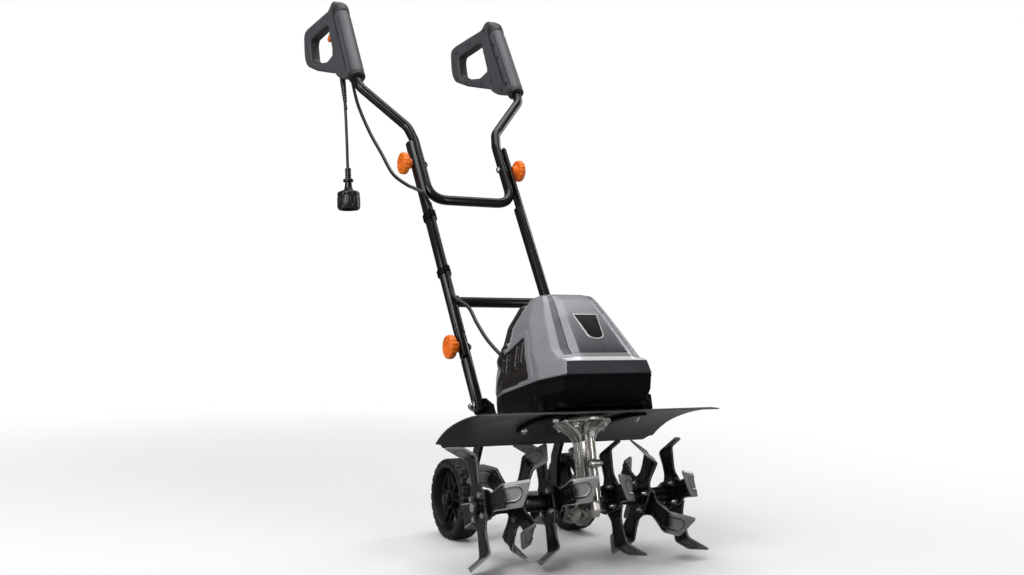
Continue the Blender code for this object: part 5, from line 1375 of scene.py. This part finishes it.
def base_push(face, t, x, y, v):
    lift = -0.0008 if v > 0.1940 else 0.0
    if 0.1478 < v < 0.1915:
        if face == PANEL_FACE:
            lift -= 0.0008 * (1 - smooth_step(abs(x), 0.038, 0.042))
        if face in BEVELS + FACETS:
            lift -= 0.0006
    return lift


def keep_faces(ob, vents):
    """Keeps either the vent faces or all the others."""
    bm = bmesh.new()
    bm.from_mesh(ob.data)
    dropped = [f for f in bm.faces if (f.material_index == VENT_PART) != vents]
    bmesh.ops.delete(bm, geom=dropped, context='FACES')
    bm.to_mesh(ob.data)
    bm.free()


# one skin, split into the shell with its stripes and panel, and the black vents
cover = skin(COVER_RINGS, COVER_ROWS, COVER_COLUMNS, 0.0020, cover_push, cover_region)
vents = cover.copy()
vents.data = cover.data.copy()
bpy.context.scene.collection.objects.link(vents)
keep_faces(cover, vents=False)
keep_faces(vents, vents=True)
for face in vents.data.polygons:
    face.material_index = 0
for surface in (SHELL, SHELL_DARK, PANEL, VENT, LEDGE_HIGHLIGHT):
    cover.data.materials.append(surface.material)
give(cover, "motor_cover_shell", "chassis", "grey_shell", None, "motor_cover")
give(vents, "vent_panels", "chassis", "black_plastic", VENT, "side_vent_left", "side_vent_right",
     "rear_vent")

base = [skin(BASE_RINGS, BASE_ROWS, BASE_COLUMNS, 0.0030, base_push, lambda *place: 0)]
for _, sx in SIDES:
    # blocks low on the base: two by each side, one under the front
    base.append(box((sx * 0.1165, sx * 0.0900), (-0.0860, -0.0450), (0.1410, 0.1700), HEAD, 0.0040))
    base.append(box((sx * 0.1125, sx * 0.0900), (-0.0480, -0.0300), (0.1425, 0.1600), HEAD, 0.0020))
    base.append(box((sx * 0.0900, sx * 0.0700), (-0.1180, -0.1000), (0.1440, 0.1560), HEAD, 0.0025))
give(shade(join(base), 30), "motor_base_moulding", "chassis", "black_plastic", BLACK, "motor_base")


# ------------------------------------------------------------------ badge on the front panel
def badge_point(x, v, lift):
    """Point on the front panel at height v, lifted square to it."""
    front = ring_at(COVER_RINGS, v)[0][1]
    rise = ring_at(COVER_RINGS, v + 0.002)[0][1] - ring_at(COVER_RINGS, v - 0.002)[0][1]
    t = Vector((0, -rise, 0.004)).normalized()
    return Vector((x, -front, v)) + Vector((0, -t.z, t.y)) * lift


def shield(grow):
    """Straight top, sides drawing in, round bottom; every side divided in six."""
    low = [(0.0150, 0.2740), (0.0142, 0.2690), (0.0122, 0.2655), (0.0090, 0.2632),
           (0.0050, 0.2620)]
    low = [(x + grow, v - grow * 0.6) for x, v in low]
    outline = [(-0.0218 - grow, 0.3085 + grow), (0.0218 + grow, 0.3085 + grow)] + low
    outline += [(0.0, 0.2616 - grow)] + [(-x, v) for x, v in low[::-1]]
    out = []
    for i, point in enumerate(outline):
        a, b = Vector(point), Vector(outline[(i + 1) % len(outline)])
        out += [tuple(a.lerp(b, k / 6)) for k in range(6)]
    return out


def plate(outline, bottom, top, edge):
    """Flat plate following the panel; edge is the size of its rounded rim."""
    middle = sum(v for _, v in outline) / len(outline)
    rings = [[badge_point(x * k, middle + (v - middle) * k, lift) for x, v in outline]
             for k, lift in ((1.0, bottom), (1.0, top - edge), (1 - edge * 12, top - edge * 0.3),
                             (1 - edge * 30, top))]
    return loft(rings, HEAD, 30)


give(plate(shield(0.0024), bottom=0.0004, top=0.0022, edge=0.0006), "badge_rim", "chassis",
     "bright_steel", TRIM)
give(plate(shield(0.0), bottom=0.0006, top=0.0028, edge=0.0004), "badge_blank", "chassis",
     "black_plastic", BADGE)

# ------------------------------------------------------------------ deck guard
GUARD_HALF, GUARD_THICK = 0.2250, 0.0030
ROW_PITCH = 0.0042          # nominal distance between rows
CHAMFER_X, CHAMFER_Y = 0.2150, 0.0895       # the rear corners are cut off beyond these
# (y, z) section in the head frame, from the rear to the front
GUARD_LINE = [(0.0995, 0.1130), (0.0880, 0.1195), (0.0755, 0.1252), (0.0550, 0.1322),
              (0.0300, 0.1380), (0.0000, 0.1417), (-0.0350, 0.1433), (-0.0700, 0.1425),
              (-0.1000, 0.1398), (-0.1285, 0.1352)]


def deck_guard():
    """Rolled sheet with a raised bead just inside its rim."""
    line = smooth_path(GUARD_LINE, 6)
    last = len(line) - 1
    rim = [GUARD_HALF, 0.2244, 0.2225, 0.2200]
    stations = [-x for x in rim] + [-0.2150 + 0.430 * k / 20 for k in range(21)] + rim[::-1]
    bm = bmesh.new()
    tops, bottoms = [], []
    for i, (y, z) in enumerate(line):
        t = (line[min(i + 1, last)] - line[max(i - 1, 0)]).normalized()
        normal = Vector((t.y, -t.x))
        top, bottom = [], []
        for x in stations:
            inset = min(GUARD_HALF - abs(x), i * ROW_PITCH, (last - i) * ROW_PITCH)
            over = max(0.0, (abs(x) - CHAMFER_X) + (y - CHAMFER_Y)) if y > CHAMFER_Y else 0.0
            x -= math.copysign(over, x) * 0.9
            lift = (-0.0012 * (1 - smooth_step(inset, 0.0, 0.0022))
                    + 0.0010 * (smooth_step(inset, 0.0050, 0.0065)
                                - smooth_step(inset, 0.0085, 0.0100)))
            drop = GUARD_THICK - 0.0006 * (1 - smooth_step(inset, 0.0, 0.0015)) - max(lift, 0)
            top.append(bm.verts.new((x, y + normal.x * lift, z + normal.y * lift)))
            bottom.append(bm.verts.new((x, y - normal.x * drop, z - normal.y * drop)))
        tops.append(top)
        bottoms.append(bottom)
    ends = len(stations) - 1
    for a, b, c, d in zip(tops, tops[1:], bottoms, bottoms[1:]):
        for j in range(ends):
            bm.faces.new((a[j], a[j + 1], b[j + 1], b[j]))
            bm.faces.new((c[j], d[j], d[j + 1], c[j + 1]))
        for j in (0, ends):
            bm.faces.new((a[j], b[j], d[j], c[j]))
    for a, c in ((tops[0], bottoms[0]), (tops[-1], bottoms[-1])):
        for j in range(ends):
            bm.faces.new((a[j], c[j], c[j + 1], a[j + 1]))
    return solid(bm, 40, HEAD)


give(deck_guard(), "deck_guard_sheet", "chassis", "guard_steel", GUARD, "deck_guard")

# rails under the motor: (y, z) sections in the head frame
RAIL_X = 0.080
RAIL_LINE = [(-0.105, 0.1290), (-0.105, 0.1350), (-0.070, 0.1384), (-0.035, 0.1393),
             (0.000, 0.1376), (0.030, 0.1340), (0.045, 0.1308), (0.045, 0.1250),
             (0.020, 0.1300), (-0.035, 0.1330)]
RAIL_STRIP = [(-0.060, 0.1322), (-0.060, 0.1340), (0.004, 0.1330), (0.004, 0.1312)]
RAIL_BOLT_Y, RAIL_BOLT_Z = (0.03, -0.085), 0.1310

for side, sx in SIDES:
    x = sx * RAIL_X
    rail = bevelled(prism(RAIL_LINE, x - 0.009, x + 0.009, HEAD), 0.0018)
    strip = bevelled(prism(RAIL_STRIP, x - 0.0035, x + 0.0035, HEAD), 0.0008, 2)
    give(join([rail, strip]), "rail_channel_" + side, "chassis", "black_plastic", BLACK,
         "guard_rail_" + side)
    parts = []
    for y in RAIL_BOLT_Y:
        seat, washer_top, nut_end, tip, tip_end = (
            head_point(x, y, RAIL_BOLT_Z + d) for d in (-0.0012, 0.0006, -0.0062, -0.0060, -0.0095))
        parts += [rod(seat, washer_top, 0.0072, 32), hex_nut(seat, nut_end, 0.0058),
                  turned(tip, tip_end, [(0, 0.0028), (0.0030, 0.0028), (0.0035, 0.0022)], 20)]
    give(join(parts), "rail_bolts_" + side, "chassis", "bright_steel", STEEL)

# ------------------------------------------------------------------ gearbox casting
LEG_Y = -0.0335             # middle of the gearbox leg in the head frame
# (half width, half depth, height, corner radius) up the leg, its funnel, flange and neck
LEG_RINGS = [
    (0.0085, 0.0150, -0.0330, 0.0080), (0.0125, 0.0215, -0.0220, 0.0080),
    (0.0122, 0.0215, 0.0960, 0.0080), (0.0170, 0.0235, 0.1080, 0.0120),
    (0.0280, 0.0310, 0.1170, 0.0250), (0.0450, 0.0450, 0.1262, 0.0440),
    (0.0480, 0.0480, 0.1275, 0.0470), (0.0500, 0.0500, 0.1290, 0.0490),
    (0.0500, 0.0500, 0.1352, 0.0490), (0.0175, 0.0175, 0.1353, 0.0170),
    (0.0175, 0.0175, 0.1500, 0.0170)]
# (distance, radius) over half of the bulb round the tine axle
BULB_PROFILE = [(0.0, 0.0150), (0.0020, 0.0325), (0.0050, 0.0385), (0.0110, 0.0400),
                (0.0112, 0.0436), (0.0122, 0.0440)]
LUGS = ((LEG_Y - 0.0290, 0.0560), (0.0300, -0.0310), (LEG_Y + 0.0290, 0.0850),
        (-0.0385, -0.0180), (0.0395, 0.0150))       # (y, z) of the case screws
FLANGE_SCREWS = [(0.0400 * math.cos(a), LEG_Y + 0.0400 * math.sin(a))
                 for a in (math.pi / 4 + k * math.pi / 2 for k in range(4))]
# (height, reach from the leg's middle) of the ribs on its sides and on its front and rear
RIB_FLARE = 0.096           # the ribs fan out above this height
SIDE_RIB = ((-0.012, 0.0125), (0.0, 0.0148), (0.0960, 0.0146), (0.1080, 0.0200),
            (0.1180, 0.0330), (0.1275, 0.0470))
END_RIB = ((0.0, 0.0228), (0.0960, 0.0228), (0.1080, 0.0262), (0.1180, 0.0360), (0.1275, 0.0470))


def leg_ring(half_x, half_y, z, corner):
    ring = []
    for q, (mx, my) in enumerate(((1, 1), (-1, 1), (-1, -1), (1, -1))):
        for k in range(10):
            a = math.pi / 2 * (q + (k + 0.5) / 10)
            ring.append((mx * (half_x - corner) + corner * math.cos(a),
                         my * (half_y - corner) + corner * math.sin(a) + LEG_Y, z))
    return ring


def side_rib(sx, dy):
    rings = []
    for z, reach in SIDE_RIB:
        y = LEG_Y + dy * (1.0 + max(0.0, (z - RIB_FLARE)) * 28)
        rings.append([(sx * 0.0060, y - 0.0017, z), (sx * reach, y - 0.0012, z),
                      (sx * reach, y + 0.0012, z), (sx * 0.0060, y + 0.0017, z)])
    return loft(rings, HEAD)


def end_rib(end, dx):
    rings = []
    for z, reach in END_RIB:
        x = dx * (1 + max(0, z - RIB_FLARE) * 40)
        root, crest = LEG_Y + end * 0.0120, LEG_Y + end * reach
        rings.append([(x - 0.0013, root, z), (x + 0.0013, root, z),
                      (x + 0.0010, crest, z), (x - 0.0010, crest, z)])
    return loft(rings, HEAD)


parts = [loft([leg_ring(*row) for row in LEG_RINGS], HEAD),
         turned(head_point(-0.0150, 0, 0), head_point(0.0150, 0, 0),
                mirrored(BULB_PROFILE, 0.0300), 96),
         box((-0.0036, 0.0036), (LEG_Y - 0.0275, LEG_Y + 0.0270), (-0.0080, 0.1130), HEAD, 0.0012)]
for y, z in LUGS:
    parts.append(turned(head_point(-0.0105, y, z), head_point(0.0105, y, z),
                        mirrored([(0, 0.0056), (0.0010, 0.0064)], 0.0210), 32))
parts += [side_rib(sx, dy) for sx in (-1, 1) for dy in (-0.0120, 0.0000, 0.0120)]
parts += [end_rib(end, dx) for end in (-1, 1) for dx in (-0.0085, 0.0085)]
for x, y in FLANGE_SCREWS:
    parts.append(turned(head_point(x, y, 0.1215), head_point(x, y, 0.1340),
                        [(0, 0.0056), (0.0010, 0.0064), (0.0125, 0.0066)], 28))
for _, sx in SIDES:
    # axle boss on the bulb
    parts.append(turned(head_point(sx * 0.0120, 0, 0), head_point(sx * 0.0195, 0, 0),
                        [(0, 0.0200), (0.0050, 0.0175), (0.0068, 0.0170), (0.0075, 0.0160)]))
give(remeshed(join(parts), voxel=0.00105, ratio=0.7), "gearbox_casting", "chassis", "cast_metal",
     CAST, "gearbox_case_left", "gearbox_case_right")

parts = []
for y, z in LUGS:
    for _, sx in SIDES:
        washer, washer_end, nut, nut_end = (
            head_point(sx * x, y, z) for x in (0.0098, 0.0108, 0.0106, 0.0140))
        parts += [rod(washer, washer_end, 0.0052, 28), hex_nut(nut, nut_end, 0.0044)]
for x, y in FLANGE_SCREWS:
    parts.append(hex_nut(head_point(x, y, 0.1222), head_point(x, y, 0.1180), 0.0048))
parts.append(hex_nut(head_point(0, LEG_Y - 0.0240, 0.1060), head_point(0, LEG_Y - 0.0310, 0.1060),
                     0.0064))
give(join(parts), "gearbox_screws", "chassis", "bright_steel", STEEL)

# ------------------------------------------------------------------ leg pivot bolts
for side, sx in SIDES:
    head, head_end, washer, small, nut, nut_end, tip = (
        (sx * x, *LEG_PIVOT) for x in (0.0853, 0.0897, 0.1166, 0.1180, 0.1190, 0.1236, 0.1255))
    parts = [turned(head, tip, [(0, 0.0040), (0.0396, 0.0040), (0.0402, 0.0034)], 28),
             hex_nut(head, head_end, 0.0070),
             turned(washer, small, mirrored([(0, 0.0092), (0.0003, 0.0095)], 0.0014), 40),
             rod(small, nut, 0.0072, 40), hex_nut(nut, nut_end, 0.0065)]
    give(join(parts), "pivot_bolt_" + side, "chassis", "bright_steel", STEEL, "leg_bolt_" + side)

# ------------------------------------------------------------------ surfaces of the CAD nodes
# The first match counts, so the hubs and the axle come before the other tine pieces.
NODE_SURFACES = (
    (GUARD, ("deck_guard",)), (CAST, ("gearbox_case",)), (SHELL, ("motor_cover",)),
    (BLACK, ("guard_rail", "motor_base", "cooling_fan", "switch_trigger")),
    (VENT, ("rear_vent", "side_vent")), (COPPER, ("motor_stator",)), (LAM, ("motor_armature",)),
    (PAINT, ("handle_bracket", "lower_leg", "wheel_arm", "tine_hub", "middle_frame",
             "upper_handle")),
    (STEEL, ("leg_bolt", "wheel_axle", "worm_shaft", "reduction_gear", "tine_axle",
             "clamp_bolt")),
    (RUBBER, ("motor_cable", "mains_lead")), (TYRE, ("wheel_left", "wheel_right")),
    (BRONZE, ("worm_wheel",)), (TINE, ("tine_",)), (ORANGE, ("knob_", "lock_button")),
    (GRIP, ("grip_",)))
for node_name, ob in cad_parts.items():
    for surface, prefixes in NODE_SURFACES:
        if node_name.startswith(prefixes):
            paint(ob, surface)
            break


# ------------------------------------------------------------------ floor, light, camera
def floor_material():
    """Pale floor that fades to white away from the machine, and bounces less than it shows."""
    material = bpy.data.materials.new("pale_floor")
    material.use_nodes = True
    tree = material.node_tree
    principled = tree.nodes["Principled BSDF"]
    noise = add_node(tree, 'TexNoise', {'Scale': 3.0}).outputs['Fac']
    seen = remap(tree, noise, (0.0, 1.0), (0.86, 0.90))
    camera_ray = add_node(tree, 'LightPath', {}).outputs['Is Camera Ray']
    tone = mix(tree, 'FLOAT', camera_ray, 0.30, seen)
    color = add_node(tree, 'CombineColor', {0: tone, 1: tone, 2: tone}).outputs[0]
    feed(tree, principled, {'Base Color': color, 'Roughness': 0.8})
    coords = add_node(tree, 'TexCoord', {}).outputs['Object']
    away = add_node(tree, 'VectorMath', {0: coords}, operation='LENGTH').outputs['Value']
    fade = remap(tree, away, (0.45, 1.9), (0.0, 1.0), interpolation_type='SMOOTHSTEP')
    fade = add_node(tree, 'Math', {0: fade, 1: camera_ray}, operation='MULTIPLY').outputs[0]
    white = add_node(tree, 'Emission', {'Strength': 1.0}).outputs[0]
    mixed = add_node(tree, 'MixShader', {0: fade, 1: principled.outputs[0], 2: white})
    feed(tree, tree.nodes["Material Output"], {'Surface': mixed.outputs[0]})
    return material


bm = bmesh.new()
bmesh.ops.create_grid(bm, x_segments=8, y_segments=8, size=14.0)
bm.normal_update()
floor = link_mesh(bm)
floor.name = "studio_floor"
floor.data.materials.append(floor_material())


def light_world():
    """White to the camera; a dim light, stronger from above, to everything else."""
    world = bpy.data.worlds.new("studio")
    bpy.context.scene.world = world
    world.use_nodes = True
    tree = world.node_tree
    camera_ray = add_node(tree, 'LightPath', {}).outputs['Is Camera Ray']
    coords = add_node(tree, 'TexCoord', {}).outputs['Generated']
    height = add_node(tree, 'SeparateXYZ', {0: coords}).outputs['Z']
    dim = remap(tree, height, (-0.1, 0.9), (0.10, 0.24))
    feed(tree, tree.nodes["Background"], {
        'Strength': mix(tree, 'FLOAT', camera_ray, dim, 1.0), 'Color': (1, 1, 1)})


def area_light(name, location, target, size, power):
    """Rectangular light of a (width, height) size, aimed at the target."""
    data = bpy.data.lights.new(name, 'AREA')
    data.shape = 'RECTANGLE'
    data.size, data.size_y = size
    data.energy = power
    light = bpy.data.objects.new(name, data)
    light.location = location
    light.rotation_mode = 'QUATERNION'
    aim = Vector(target) - Vector(location)
    light.rotation_quaternion = aim.to_track_quat('-Z', 'Y')
    bpy.context.scene.collection.objects.link(light)


light_world()
area_light("key_soft", location=(-2.3, -1.6, 2.5), target=(0, 0, 0.35), size=(1.2, 1.6), power=58)
area_light("top_soft", location=(0.2, 0.3, 3.0), target=(0, 0, 0.3), size=(2.0, 2.0), power=44)
area_light("rim_right", location=(2.3, 0.6, 1.3), target=(0, 0, 0.4), size=(0.5, 2.2), power=20)
area_light("strip_left", location=(-2.4, -0.2, 0.9), target=(0, -0.1, 0.4), size=(0.28, 1.9),
           power=12)
area_light("strip_front", location=(0.9, -2.9, 0.9), target=(0, -0.2, 0.3), size=(0.30, 1.5),
           power=12)

CAMERA_PLACE = (-1.09350157, -1.83573005 - FORWARD_SHIFT, 0.51021074)
CAMERA_RIGHT = (0.88832940, -0.45819721, 0.03043343)
CAMERA_UP = (-0.01875347, 0.03002003, 0.99937336)
CAMERA_BACK = (-0.45882370, -0.88834347, 0.01807489)
camera_data = bpy.data.cameras.new("camera")
camera_data.lens = 43.475
camera_data.sensor_width = 36.0
camera_data.clip_start, camera_data.clip_end = 0.05, 100
camera = bpy.data.objects.new("camera", camera_data)
bpy.context.scene.collection.objects.link(camera)
camera_matrix = Matrix((CAMERA_RIGHT, CAMERA_UP, CAMERA_BACK)).transposed().to_4x4()
camera_matrix.translation = CAMERA_PLACE
camera.matrix_world = camera_matrix
bpy.context.scene.camera = camera
bpy.context.scene.view_settings.view_transform = 'Standard'

bpy.context.view_layer.update()
